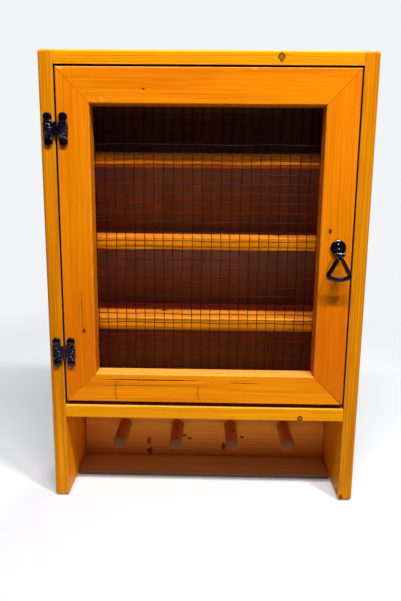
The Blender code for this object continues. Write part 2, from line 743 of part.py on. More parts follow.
def build_pull(door, bail_pivot, stile):
    """The rosette with its two ears, the pin between them, the swinging bail and the bolt behind."""
    dome_rise = ROSETTE_DOME - ROSETTE_GROOVE
    profile = [
        (DOME_RADIUS * math.sin(turn), ROSETTE_GROOVE + dome_rise * math.cos(turn))
        for turn in [math.pi / 2 * i / ARC_STEPS * 2 for i in range(ARC_STEPS // 2 + 1)]
    ]
    profile[0] = (0, ROSETTE_DOME)
    rim_width = (ROSETTE_RADIUS - DOME_RADIUS) / 4
    profile += [
        (ROSETTE_RADIUS - rim_width * 3, ROSETTE_GROOVE),
        (ROSETTE_RADIUS - rim_width * 2, ROSETTE_RIM),
        (ROSETTE_RADIUS - rim_width, ROSETTE_RIM),
        (ROSETTE_RADIUS, ROSETTE_GROOVE),
        (ROSETTE_RADIUS, 0),
        (0, 0),
    ]
    base = (PULL_X, PULL_BASE_Y, PULL_Z)
    rosette = add_turned("pull_rosette", profile, BLACK_IRON, base, TO_FRONT, door)
    ear_low_y = EAR_Y - PULL_BASE_Y
    ear_root_y = -ROSETTE_GROOVE / 2
    outline = [(ear_root_y, EAR_RADIUS), (ear_low_y, EAR_RADIUS)]
    outline += arc((ear_low_y, 0), EAR_RADIUS, 90, 270)[1:]
    outline += [(ear_root_y, -EAR_RADIUS)]
    for name, hand in (("left", -1), ("right", 1)):
        ear = add_part(
            f"pull_ear_{name}",
            plate_mesh("ear", outline, EAR_THICK),
            BLACK_IRON,
            (PULL_X + hand * EAR_X, PULL_BASE_Y, EAR_Z),
            door,
        )
        ear.rotation_euler = (math.pi / 2, 0, math.pi / 2)
        join(rosette, as_helper(ear))
    bore_radius = PIN_RADIUS + PIN_CLEARANCE
    axis_spot = (PULL_X, EAR_Y, EAR_Z)
    bore = rod_helper("pull_pin_bore", bore_radius, CASE_DEPTH, axis_spot, ALONG_X, door, SMALL_SIDES)
    cut(rosette, bore)
    build_pull_pin(axis_spot, door)
    build_bail(axis_spot, bail_pivot, bore)
    build_bolt(rosette, stile, door)


def build_pull_pin(axis_spot, door):
    end = EAR_X + EAR_THICK / 2 + FIT_GAP
    head = [(0, end + PIN_RADIUS), (PIN_RADIUS, end + PIN_RADIUS * 0.9)]
    head += [(PIN_RADIUS * 1.5, end + PIN_RADIUS * 0.5), (PIN_RADIUS * 1.5, end), (PIN_RADIUS, end)]
    tail = [(radius, -height) for radius, height in reversed(head)]
    add_turned("pull_pin", head + tail, BLACK_IRON, axis_spot, ALONG_X, door, SMALL_SIDES)


def bail_route():
    """The bail's centre line: two straight arms, round lower corners and a bar that bows down."""
    corner_x = BAIL_HALF_WIDTH - BAIL_BAR_RADIUS - BAIL_CORNER
    corner_z = -BAIL_DROP + BAIL_BAR_RADIUS + BAIL_BOW + BAIL_CORNER
    top_x = BAIL_TOP_HALF
    top_z = -BAIL_TOP_DROP
    reach = math.hypot(corner_x - top_x, top_z - corner_z)
    toward_top = math.degrees(math.atan2(top_z - corner_z, top_x - corner_x))
    tangent = toward_top - math.degrees(math.acos(BAIL_CORNER / reach))
    right = arc((corner_x, corner_z), BAIL_CORNER, tangent, -90, 6)
    floor_z = right[-1][1]
    bar = [
        (corner_x * share, floor_z - BAIL_BOW * (1 - share**2)) for share in (0.66, 0.33, 0.0, -0.33, -0.66)
    ]
    left = [(-x, z) for x, z in reversed(right)]
    return [(top_x, top_z)] + right + bar + left + [(-top_x, top_z)]


def build_bail(axis_spot, bail_pivot, bore):
    """A triangular drop bail whose arms meet in a neck below the eye on the pin."""
    curve = poly_curve("bail_bar", [(x, 0.0, z) for x, z in bail_route()], "3D", closed=False)
    curve.bevel_depth = BAIL_BAR_RADIUS
    curve.bevel_resolution = 2
    curve.use_fill_caps = True
    mesh = mesh_of_curve(curve, "pull_bail")
    bail = add_part("pull_bail", mesh, BLACK_IRON, axis_spot, bail_pivot)
    eye = rod_helper("bail_eye", BAIL_EYE_RADIUS, BAIL_EYE_HALF * 2, axis_spot, ALONG_X, bail_pivot)
    neck_middle = (axis_spot[0], axis_spot[1], axis_spot[2] - BAIL_NECK_REACH / 2)
    neck = rod_helper("bail_neck", BAIL_NECK_RADIUS, BAIL_NECK_REACH, neck_middle, UP, bail_pivot)
    join(bail, neck)
    join(bail, eye)
    cut(bail, bore)
    smooth_over(bail)


def build_bolt(rosette, stile, door):
    """A bolt from the back of the stile into the rosette."""
    through = DOOR_THICK + FIT_GAP * 2
    profile = [
        (0, BOLT_HEAD_HEIGHT),
        (BOLT_HEAD_RADIUS * 0.75, BOLT_HEAD_HEIGHT),
        (BOLT_HEAD_RADIUS, BOLT_HEAD_HEIGHT * 0.45),
        (BOLT_HEAD_RADIUS, 0),
        (BOLT_RADIUS, 0),
        (BOLT_RADIUS, -through - BOLT_GRIP + FIT_GAP * 2),
        (0, -through - BOLT_GRIP + FIT_GAP * 2),
    ]
    seat = (PULL_X, DOOR_BACK_Y + FIT_GAP, PULL_Z)
    add_turned("pull_bolt", profile, STEEL, seat, TO_REAR, door, SMALL_SIDES)
    reach = DOOR_THICK + FIT_GAP + BOLT_GRIP
    middle = (PULL_X, PULL_BASE_Y - BOLT_GRIP + (reach + FIT_GAP) / 2, PULL_Z)
    tapped = rod_helper(
        "pull_bolt_hole", BOLT_RADIUS + FIT_GAP, reach + FIT_GAP, middle, ALONG_Y, door, SMALL_SIDES
    )
    clear = rod_helper(
        "pull_stile_hole",
        BOLT_RADIUS + FIT_GAP,
        DOOR_THICK * 2,
        (PULL_X, DOOR_MID_Y, PULL_Z),
        ALONG_Y,
        door,
        SMALL_SIDES,
    )
    cut(rosette, tapped)
    cut(stile, clear)


def flat_screw_profile(length):
    """A small pan-headed screw, from the top of its head to its point."""
    return [
        (0, CATCH_SCREW_RADIUS),
        (CATCH_SCREW_HEAD * 0.7, CATCH_SCREW_RADIUS),
        (CATCH_SCREW_HEAD, CATCH_SCREW_RADIUS * 0.4),
        (CATCH_SCREW_HEAD, 0),
        (CATCH_SCREW_RADIUS, 0),
        (CATCH_SCREW_RADIUS, CATCH_SCREW_RADIUS - length),
        (0, -length),
    ]


def build_catch(door, right_side, stile):
    """A magnetic catch on the right side board, and its strike plate on the back of the door."""
    wall_x = INNER_HALF - FIT_GAP
    catch_rear_y = CATCH_FRONT_Y + CATCH_DEPTH
    catch = add_board(
        "catch_body",
        (wall_x - CATCH_FLANGE, CATCH_FRONT_Y, CATCH_Z - CATCH_LENGTH / 2),
        (wall_x, catch_rear_y, CATCH_Z + CATCH_LENGTH / 2),
        CATCH_PLASTIC,
    )
    block = box_helper(
        "catch_block",
        (wall_x - CATCH_PROUD, CATCH_FRONT_Y, CATCH_Z - CATCH_BLOCK_LENGTH / 2),
        (wall_x - CATCH_FLANGE / 2, catch_rear_y, CATCH_Z + CATCH_BLOCK_LENGTH / 2),
    )
    join(catch, block)
    screw_y = CATCH_FRONT_Y + CATCH_DEPTH / 2
    for name, hand in (("upper", 1), ("lower", -1)):
        seat = (wall_x - CATCH_FLANGE - FIT_GAP, screw_y, CATCH_Z + hand * CATCH_SCREW_Z)
        screw_name = f"catch_screw_{name}"
        profile = flat_screw_profile(CATCH_SCREW_LENGTH)
        add_turned(screw_name, profile, STEEL, seat, (-1, 0, 0), sides=SMALL_SIDES)
        hole = rod_helper(
            screw_name + "_hole",
            CATCH_SCREW_RADIUS + FIT_GAP,
            (CATCH_SCREW_LENGTH + FIT_GAP) * 2,
            seat,
            ALONG_X,
            sides=SMALL_SIDES,
        )
        cut(catch, hole)
        cut(right_side, hole)

    strike_x = INNER_HALF - CATCH_PROUD / 2 - DOOR_SIDE_GAP
    strike = add_board(
        "catch_strike",
        (strike_x - STRIKE_WIDTH / 2, DOOR_BACK_Y + FIT_GAP, CATCH_Z - STRIKE_LENGTH / 2),
        (strike_x + STRIKE_WIDTH / 2, DOOR_BACK_Y + FIT_GAP + STRIKE_THICK, CATCH_Z + STRIKE_LENGTH / 2),
        STEEL,
        parent=door,
    )
    head_depth = STRIKE_THICK - FIT_GAP
    spot = (strike_x, DOOR_BACK_Y + FIT_GAP + STRIKE_THICK, CATCH_Z)
    profile = [
        (0, 0),
        (CATCH_SCREW_HEAD, 0),
        (CATCH_SCREW_RADIUS, -head_depth),
        (CATCH_SCREW_RADIUS, CATCH_SCREW_RADIUS - CATCH_SCREW_LENGTH),
        (0, -CATCH_SCREW_LENGTH),
    ]
    add_turned("strike_screw", profile, STEEL, spot, TO_REAR, door, SMALL_SIDES)
    hole = [
        (0, FIT_GAP * 2),
        (CATCH_SCREW_HEAD + FIT_GAP * 3, FIT_GAP * 2),
        (CATCH_SCREW_RADIUS + FIT_GAP, -head_depth),
        (CATCH_SCREW_RADIUS + FIT_GAP, -CATCH_SCREW_LENGTH - FIT_GAP),
        (0, -CATCH_SCREW_LENGTH - FIT_GAP),
    ]
    helper = as_helper(add_turned("strike_screw_hole", hole, STEEL, spot, TO_REAR, door, SMALL_SIDES))
    cut(strike, helper)
    cut(stile, helper)


def main():
    door = add_pivot("door_axis", (HINGE_X, HINGE_Y, DOOR_MID_Z))
    bail_pivot = add_pivot("bail_axis", (PULL_X, EAR_Y, EAR_Z), door)
    sides = build_case()
    build_top_board()
    build_pegs()
    hinge_stile, pull_stile = build_door_frame(door)
    build_mesh(door)
    build_hinges(door, sides["left_side"], hinge_stile)
    build_pull(door, bail_pivot, pull_stile)
    build_catch(door, sides["right_side"], pull_stile)
    bpy.context.view_layer.update()


main()
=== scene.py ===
"""Looks of the wall cabinet: honey stained pine, a wire front and black cast fittings on a pale stage."""

import math
from typing import NamedTuple

import bmesh
import bpy
from mathutils import Matrix, Vector


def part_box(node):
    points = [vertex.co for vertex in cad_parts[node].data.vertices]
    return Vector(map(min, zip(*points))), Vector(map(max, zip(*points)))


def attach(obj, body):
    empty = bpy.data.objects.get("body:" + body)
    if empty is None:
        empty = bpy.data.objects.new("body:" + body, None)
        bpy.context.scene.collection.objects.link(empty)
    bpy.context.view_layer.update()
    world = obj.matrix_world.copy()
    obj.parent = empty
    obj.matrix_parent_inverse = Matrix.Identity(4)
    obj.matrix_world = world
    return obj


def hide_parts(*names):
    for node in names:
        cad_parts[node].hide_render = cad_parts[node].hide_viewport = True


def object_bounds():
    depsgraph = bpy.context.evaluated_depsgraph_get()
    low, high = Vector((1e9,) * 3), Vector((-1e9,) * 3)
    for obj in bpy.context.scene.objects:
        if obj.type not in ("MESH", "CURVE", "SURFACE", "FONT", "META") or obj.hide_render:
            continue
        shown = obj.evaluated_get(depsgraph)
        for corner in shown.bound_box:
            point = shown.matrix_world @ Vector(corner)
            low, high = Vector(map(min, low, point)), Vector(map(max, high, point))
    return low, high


bl_info = {
    "name": "Wire Front Wall Cabinet",
    "version": (1, 0, 0),
    "blender": (4, 5, 0),
    "location": "View3D > Sidebar > Cabinet",
    "description": "Dresses the wall cabinet in stained pine, wire mesh and black cast fittings",
    "category": "Object",
}

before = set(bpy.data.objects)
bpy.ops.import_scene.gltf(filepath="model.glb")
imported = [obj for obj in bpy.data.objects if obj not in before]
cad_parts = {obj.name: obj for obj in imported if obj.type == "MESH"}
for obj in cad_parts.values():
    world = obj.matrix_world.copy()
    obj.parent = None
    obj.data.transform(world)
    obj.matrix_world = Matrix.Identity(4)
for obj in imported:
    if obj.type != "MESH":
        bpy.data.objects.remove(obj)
CAD_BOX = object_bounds()

# Camera and lamps: a lamp's width and height, how high it stands and how far to the right, in degrees.
IMAGE_HEIGHT = 601
SENSOR = 36.0
CLIP = (0.01, 60.0)
LAMP_REACH = 1.8
LAMP_AIM = Vector((0.0, -0.06, 0.0))
LAMPS = {
    "key": ((0.85, 0.08), 66.0, 0.0),
    "side": ((0.16, 0.16), 57.0, 45.0),
    "rear": ((0.60, 0.60), 38.0, 165.0),
}
# The floor: half its width and the distances over which its own light takes over. Then where the dim room in
# front passes into the pale backdrop, by direction and by place.
FLOOR_HALF = 14.0
FLOOR_LIT = (0.4, 1.2)
ROOM_ABOVE = (-0.2, 0.4)
ROOM_BELOW = (-0.3, 0.6)

# Forms
MERGE = 1e-6
SHARP_ANGLE = math.radians(38.0)
TO_FRONT = Matrix.Rotation(math.radians(90.0), 4, "X")
AXES = {"x": Vector((1.0, 0.0, 0.0)), "y": Vector((0.0, 1.0, 0.0)), "z": Vector((0.0, 0.0, 1.0))}
ORIGIN = (0.0, 0.0, 0.0)
BLACK = (0.0, 0.0, 0.0)
WHITE = (1.0, 1.0, 1.0)
# Depth of the front faces, where most marks lie.
FRONT = -0.122

# How squarely a face has to look one way, from where it begins to count to where it counts in full.
LOOKS_UP = (0.25, 0.85)
LOOKS_STRAIGHT_UP = (0.80, 0.97)
LOOKS_ASIDE = (0.3, 0.9)
LOOKS_AHEAD = (0.4, 0.9)
LOOKS_INTO_GAP = (0.55, 0.95)
# Depths and heights between which the painted shade in the gap round the door sets in, and its reach beside
# the rail.
GAP_DEPTHS = (-0.1075, -0.1125)
GAP_HEIGHTS = (-0.1575, -0.1560)
RAIL_SHADE = 0.0008


class Cut(NamedTuple):
    """How a board was sawn, stained and worn, and where shade and highlights are painted on it. Knots, eyes,
    spikes, pips and chips are (place, radius).
    """

    grain: str  # axis along the grain
    face: str  # axis that the knots pierce
    heart: tuple  # the board's middle as seen from the heart of its log
    ring: float  # width of a year's ring
    sway: float  # how far the rings sway
    tone: float
    hue: float
    strength: float = 1.0  # how strong the stain's colour is
    late: float = 0.55  # how much the late wood shows
    streak: float = 0.16  # how much the fine streaks show
    wear_and_top_highlight: float = 0.6  # how far handling has thinned the stain, and how strong the painted highlight on upper faces and edges is
    gloss: float = 0.18
    dark: float = 0.88  # how dark the knots are
    fade: tuple = ()  # from height, to height, deeper stain, tone there; on the peg rail a painted shade towards the bottom
    gap_shade: tuple = ()  # axis, side and amount of the painted shade in the gap round the door
    corner: float = 0.0  # amount of the painted shade beside the peg rail
    crown: float = 1.0  # tone of the flat upper face, darkened as painted shade against the lamp above
    edge: float = 1.0  # tone of the narrow faces, darkened as painted shade
    end: float = 1.0  # tone of the face in front, darkened as painted shade
    drawn: tuple = ()  # an end that drying drew back: from, to (across and up), shift at the far one
    knots: tuple = ()  # these go through the board
    eyes: tuple = ()  # round knots
    spikes: tuple = ()  # long knots
    pips: tuple = ()  # dark spots at one place
    chips: tuple = ()  # pale spots at one place
    checks: tuple = ()  # splits along the grain: place, half length, half width
    scars: tuple = ()  # marks across the grain: place, half length, bow
    slot: str = "stained_pine"


# Painted shade: the gap shade, the corner, crown, edge and end tones, the peg rail's fade and the upper
# shelf's darker tone. The upper faces' share of the wear is a painted highlight.
BOARD_CUTS = {
    "left_side": Cut(
        "z", "x", (0.052, 0.040, 0.31), 0.0034, 0.010, tone=0.84, hue=0.508, streak=0.34,
        fade=(-0.13, -0.25, 0.0, 1.12), gap_shade=("X", 1.0, 0.85), corner=0.95, crown=0.66,
        knots=(((-0.21, -0.052, 0.118), 0.0058), ((-0.21, -0.046, -0.102), 0.0042)),
    ),
    "right_side": Cut(
        "z", "x", (-0.046, 0.055, 1.27), 0.0031, 0.009, tone=0.83, hue=0.510, streak=0.34,
        fade=(-0.10, -0.25, 0.2, 0.88), gap_shade=("X", -1.0, 0.85), corner=0.95, crown=0.66,
        knots=(((0.21, -0.046, 0.021), 0.0066),),
        pips=(((0.1957, FRONT, -0.2880), 0.0024), ((0.1921, -0.113, -0.2850), 0.0028)),
    ),
    "top_board": Cut(
        "x", "y", (0.024, 0.062, 2.11), 0.0033, 0.012, tone=0.98, hue=0.512, gap_shade=("Z", -1.0, 0.85),
        crown=0.58, eyes=(((0.0900, FRONT, 0.3030), 0.0047),),
    ),
    "floor_board": Cut(
        "x", "y", (-0.030, 0.060, 3.05), 0.0030, 0.010, tone=1.01, hue=0.516,
        eyes=(((0.1328, FRONT, -0.1701), 0.0038),),
    ),
    # The upper shelf is darker and redder than the others, a painted shade for the door's top rail above it.
    "shelf_upper": Cut(
        "x", "z", (0.020, 0.045, 4.40), 0.0030, 0.012, tone=0.80, hue=0.497, wear_and_top_highlight=0.1, streak=0.3,
        knots=(((-0.1089, -0.080, 0.1834), 0.0040), ((0.072, -0.041, 0.190), 0.0052)),
    ),
    "shelf_middle": Cut(
        "x", "z", (-0.026, 0.050, 5.70), 0.0032, 0.011, tone=0.98, hue=0.504, wear_and_top_highlight=0.2, streak=0.3,
        knots=(((0.104, -0.052, 0.076), 0.0050),),
    ),
    "shelf_lower": Cut(
        "x", "z", (0.031, 0.043, 6.25), 0.0029, 0.013, tone=0.92, hue=0.504, wear_and_top_highlight=0.2, streak=0.3,
        knots=(((-0.061, -0.047, -0.038), 0.0044),),
    ),
    "peg_rail": Cut(
        "x", "y", (0.012, 0.034, 7.60), 0.0036, 0.013, tone=1.02, hue=0.508, strength=0.95, late=0.70,
        # Its fade darkens the lower part of the rail, a painted shade where the ledge keeps light off.
        gloss=0.07, dark=0.80, fade=(-0.235, -0.285, 0.4, 0.88),
        drawn=((-0.1917, -0.2882), (-0.1917, -0.1738), 0.0022),
        knots=(((-0.0314, -0.022, -0.2536), 0.0025), ((-0.0233, -0.022, -0.2570), 0.0023),
               ((0.0617, -0.022, -0.2547), 0.0024), ((-0.0880, -0.022, -0.2800), 0.0036)),
        spikes=(((-0.0890, -0.022, -0.2640), 0.0036), ((0.0318, -0.022, -0.2715), 0.0034),
                ((-0.0868, -0.022, -0.2745), 0.0024)),
    ),
    "lower_ledge": Cut(
        "x", "z", (0.040, 0.030, 8.90), 0.0030, 0.010, tone=0.74, hue=0.512, strength=0.30, wear_and_top_highlight=0.0,
        end=0.35,
    ),
    "door_stile_hinge": Cut(
        "z", "y", (0.058, 0.040, 9.40), 0.0036, 0.012, tone=0.97, hue=0.500, late=0.40, edge=0.7,
        fade=(0.12, -0.08, 0.7, 1.0), gap_shade=("X", -1.0, 0.85), knots=(((-0.1629, FRONT, -0.0484), 0.0022),),
        checks=(((-0.1652, FRONT, -0.020), 0.034, 0.0005),), chips=(((-0.1840, FRONT, -0.1450), 0.0011),),
    ),
    "door_stile_pull": Cut(
        "z", "y", (-0.040, 0.044, 10.7), 0.0038, 0.012, tone=0.95, hue=0.499, late=0.40, edge=0.7,
        fade=(0.12, -0.08, 0.8, 1.0), gap_shade=("X", 1.0, 0.85), knots=(((0.1607, FRONT, 0.0899), 0.0024),),
    ),
    "door_rail_top": Cut(
        "x", "y", (0.020, 0.038, 11.6), 0.0036, 0.012, tone=0.95, hue=0.500, late=0.40, edge=0.7,
        gap_shade=("Z", 1.0, 0.45), knots=(((-0.0801, FRONT, 0.2642), 0.0014),),
        chips=(((-0.1835, FRONT, 0.2886), 0.0014), ((0.0570, FRONT, 0.2893), 0.0012),
               ((-0.1325, FRONT, 0.2530), 0.0008), ((-0.1312, FRONT, 0.2498), 0.0007)),
    ),
    "door_rail_bottom": Cut(
        "x", "y", (0.006, 0.026, 12.8), 0.0040, 0.016, tone=1.02, hue=0.503, late=0.45, edge=0.7,
        gap_shade=("Z", -1.0, 0.85), drawn=((0.1483, -0.1090), (0.1903, -0.1495), -0.0011),
        checks=(((-0.074, FRONT, -0.1172), 0.080, 0.0011), ((-0.079, FRONT, -0.1256), 0.075, 0.0005),
                ((0.056, FRONT, -0.1200), 0.023, 0.0006)),
        scars=(((-0.1222, FRONT, -0.1330), 0.015, -0.0024), ((-0.0090, FRONT, -0.1350), 0.011, -0.0024)),
    ),
}
# Shapes of the knots and how pale their hearts are.
KNOT_SHAPES = {
    "knots": ((1.0, 0.0, 0.7), 0.05),
    "eyes": ((0.85, 0.0, 1.0), 0.32),
    "spikes": ((0.45, 0.0, 1.1), 0.05),
    "pips": ((1.0, 1.0, 0.55), 0.05),
}
CHIP_SHAPE = (1.0, 1.0, 0.35)
DOOR_LATHS = ("door_stile_hinge", "door_stile_pull", "door_rail_top", "door_rail_bottom")
# The pegs' front faces are darkened as painted shade.
PEG_CUT = Cut(
    "y", "x", ORIGIN, 0.0026, 0.004, tone=0.46, hue=0.497, strength=0.84, wear_and_top_highlight=0.05, end=0.62, gloss=0.10,
    slot="stained_dowel",
)
# The heart of a peg's log, along each axis: where it starts and its step from peg to peg.
PEG_HEARTS = ((0.010, 0.003), (0.020, -0.004), (0.0, 0.37))
PEG_SIDES = 48
PEG_TIP_STEPS = 8
# Dark marks on the pegs by their number: in from the left, in from the tip, down from the top, radius.
PEG_PIPS = {
    1: ((0.007, 0.020, 0.002, 0.0022),),
    2: ((0.009, 0.033, 0.001, 0.0019),),
    3: ((0.011, 0.036, 0.001, 0.0017), (0.012, 0.024, 0.001, 0.0016)),
}

# Finishes by slot: metal or not, specular level, least roughness, depth, lumps and pits of the skin.
CAST_FINISHES = {
    "black_iron": (0.0, 0.56, 0.05, 0.00012, 260.0, 1500.0),
    "galvanised_wire": (0.0, 0.07, 0.44, 0.0001, 190.0, 1200.0),
    "zinc_steel": (1.0, 0.5, 0.26, 0.0001, 320.0, 2600.0),
    "catch_plastic": (0.0, 0.2, 0.42, 0.0001, 300.0, 2400.0),
}

# Waves of the wires: turns by the place along the wire and by the wire's own place, share of the sway.
WAVES_ACROSS = ((29, 61, 0.6), (83, 140, 0.5))
WAVES_UP = ((33, 52, 0.6), (71, -210, 0.6))
WIRE_BENDS = 28
# How far in front of the sheet's rear the level wires lie, in radii; the first wire with a staple; its legs.
LEVEL_WIRES_IN = 2.8
FIRST_STAPLE = 2
STAPLE_LEG = 0.004
# Brads: thickness of the head, rounding of its rim, how deep it sits, length of the shank, inset on the
# rail, the shank's width as a share of the head's.
BRAD_HEAD = 0.0004
BRAD_RIM = 0.00012
BRAD_SUNK = 0.0001
BRAD_SHANK = 0.03
RAIL_BRAD_INSET = 0.022
SHANK_SHARE = 0.6

# Screws: rise of the head, its slot's depth and the shank's tip and root, as shares; turns of the slots.
SCREW_RISE = 0.46
SCREW_SLOT_DEPTH = 0.6
SCREW_SHANK = (0.08, 0.46)
FIRST_SLOT_TURN = 0.4
NEXT_SLOT_TURN = 0.9
HINGES = ("hinge_top", "hinge_bottom")
LEAVES = {"case_leaf": ("case", -1.0), "door_leaf": ("door", 1.0)}
# Beads cast on a hinge leaf: out from the pin, up from its middle, half length, half width, turn in degrees.
# Each has a twin below.
LEAF_BEADS = (
    (0.0095, 0.0016, 0.0048, 0.0011, 4.0),
    (0.0100, 0.0056, 0.0046, 0.0011, 16.0),
    (0.0070, 0.0097, 0.0040, 0.0013, 50.0),
    (0.0138, 0.0054, 0.0020, 0.0020, 0.0),
    (0.0098, 0.0152, 0.0054, 0.0054, 0.0),
)
# The notch between a lobe and the wing below it, out from the pin and up, and how much deeper it is cast.
LEAF_NOTCH = (0.0129, 0.0078)
NOTCH_SINK = (-0.0034, 0.0011)
NOTCH_REACH = 0.0018
# The web below the pull's ears, by the rosette's radius; how far down the bail thickens, and how soon.
WEB_HALVES = Vector((0.46, 0.42, 0.50))
WEB_SPOT = Vector((0.0, 0.36, 0.42))
SWELL_FROM = 0.15
SWELL_RATE = 2.5


def number(name, description, default, **kind):
    """A number that the sidebar shows."""
    return bpy.props.FloatProperty(name=name, description=description, default=default, **kind)


def length(name, description, default):
    """A size in metres that the sidebar shows."""
    return number(name, description, default, min=0.0, unit="LENGTH", precision=4)


def share(name, description, default):
    """A number from 0 to 1 that the sidebar shows."""
    return number(name, description, default, min=0.0, max=1.0, subtype="FACTOR")


def angle(name, description, degrees):
    """An angle that the sidebar shows."""
    return number(name, description, math.radians(degrees), subtype="ANGLE")


def colour(name, description, default):
    """A linear colour that the sidebar shows."""
    return bpy.props.FloatVectorProperty(
        name=name, description=description, default=default, size=3, min=0.0, max=1.0, subtype="COLOR"
    )


class CabinetSizes(bpy.types.PropertyGroup):
    """Sizes of the pieces that the solids leave to the looks."""

    mesh_pitch_across: length("Mesh pitch across", "Distance between upright wires", 0.0129)
    mesh_pitch_up: length("Mesh pitch up", "Distance between level wires", 0.0127)
    wire_radius: length("Wire radius", "Half the thickness of a wire", 0.00058)
    wire_sway: length("Wire sway", "How far the sheet of wires wanders from straight", 0.0007)
    first_upright: number("First upright", "Place of one upright wire", -0.0059, unit="LENGTH")
    first_level: number("First level", "Place of one level wire", 0.0722, unit="LENGTH")
    staple_spacing: length("Staple spacing", "Distance between the staples that hold the mesh", 0.062)
    staple_width: length("Staple width", "Length of a staple's crown", 0.0095)
    staple_wire: length("Staple wire", "Thickness of a staple's wire", 0.0008)
    brad_radius: length("Brad radius", "Half the width of a brad's head", 0.0009)
    brad_inset: length("Brad inset", "How far the brads keep from a board's front and rear edge", 0.026)
    leaf_thick: length("Leaf thickness", "Thickness of a hinge leaf's plate", 0.0020)
    bead_rise: length("Bead rise", "How far the beads stand out of a hinge leaf", 0.0012)
    cast_detail: length("Cast detail", "Smallest form that the castings keep", 0.00025)
    pin_share: share("Pin share", "Share of a hinge pin's length that shows past the barrel", 0.84)
    bail_swell: length("Bail swell", "How much the bail thickens below its eye", 0.0007)
    screw_slot: length("Screw slot", "Half the width of a hinge screw's slot", 0.00035)
    peg_round: length("Peg rounding", "Radius of the rounding at a peg's tip", 0.0030)
    # The worn edges also carry a painted highlight.
    wear_width: length("Wear width", "How far the worn edges of the boards reach", 0.0035)


class CabinetColours(bpy.types.PropertyGroup):
    """Colours of the finishes."""

    pine_light: colour("Pine, early wood", "Stained colour of the soft early wood", (0.970, 0.275, 0.002))
    pine_dark: colour("Pine, late wood", "Stained colour of the hard late wood", (0.620, 0.116, 0.001))
    pine_deep: colour("Pine, deep stain", "Where the stain lies thicker", (0.790, 0.152, 0.001))
    # This colour also serves as the painted highlight on upper faces and edges.
    pine_worn_and_highlight: colour("Pine, worn edges", "Where handling has thinned the stain", (1.000, 0.540, 0.150))
    pine_knot: colour("Pine, knots", "Heart of a knot", (0.042, 0.011, 0.005))
    # This colour also serves as the painted shade in the gap round the door and beside the peg rail.
    pine_check_and_gap_shade: colour("Pine, checks", "Depth of a split", (0.045, 0.010, 0.004))
    pine_scar: colour("Pine, scars", "Marks across the grain", (0.330, 0.062, 0.003))
    gloss: colour("Pine, gloss", "Tint of the shine on the stained boards", (1.000, 0.600, 0.100))
    panel_light: colour("Back panel, light", "Lighter fibres of the brown back panel", (0.415, 0.250, 0.165))
    panel_dark: colour("Back panel, dark", "Darker fibres of the brown back panel", (0.325, 0.188, 0.120))
    iron: colour("Black iron", "Paint of the hinges and the pull", (0.0010, 0.0012, 0.0030))
    iron_worn: colour("Black iron, worn", "Thin spots of that paint", (0.0040, 0.0040, 0.0065))
    iron_gloss: colour("Black iron, gloss", "Tint of the shine on that paint", (0.86, 0.64, 1.000))
    wire: colour("Wire", "Dulled zinc of the mesh", (0.005, 0.005, 0.007))
    wire_pale: colour("Wire, pale", "Pale bloom on that zinc", (0.016, 0.016, 0.020))
    steel: colour("Steel", "Zinc plate of the small fittings", (0.560, 0.550, 0.530))
    steel_dull: colour("Steel, dull", "Tarnish of that plate", (0.300, 0.290, 0.275))
    plastic: colour("Catch plastic", "Brown plastic of the magnetic catch", (0.150, 0.070, 0.034))
    plastic_dark: colour("Catch plastic, dark", "Darker grain of that plastic", (0.090, 0.040, 0.020))


class CabinetStage(bpy.types.PropertyGroup):
    """Camera, lamps and floor."""

    eye: bpy.props.FloatVectorProperty(
        name="Eye", description="Place of the camera", default=(0.00278, -0.74392, 0.14746), subtype="XYZ"
    )
    pitch: angle("Pitch", "How far the camera looks down", 9.42)
    yaw: angle("Yaw", "How far the camera looks to the right", -0.88)
    roll: angle("Roll", "How far the camera leans", 0.58)
    focal_pixels: number("Focal length", "Focal length in pixels of the picture", 480.0)
    rise_pixels: number("Rise", "How far the picture's middle lies below the lens axis, in pixels", 36.0)
    key_watts: number("Key lamp", "Power of the wide lamp in front", 35.0, subtype="POWER")
    side_watts: number("Side lamp", "Power of the lamp at the right", 23.0, subtype="POWER")
    rear_watts: number("Rear lamp", "Power of the weak lamp behind", 12.0, subtype="POWER")
    fill: share("Fill", "Strength of the light from all around", 0.045)
    fill_tint: colour("Fill tint", "Cool tint of the light from all around", (0.42, 0.62, 1.0))
    room: share("Room", "How bright the room in front of the cabinet looks in gloss", 0.04)
    drop: length("Floor gap", "How far the floor lies below the cabinet's feet", 0.0005)
    floor: colour("Floor", "Colour of the floor", (0.580, 0.590, 0.605))
    backdrop: colour("Backdrop", "Colour behind the cabinet", (0.890, 0.905, 0.930))


def rgba(tint):
    """A colour as a socket takes it."""
    return tint if isinstance(tint, bpy.types.NodeSocket) else (*tint, 1.0)


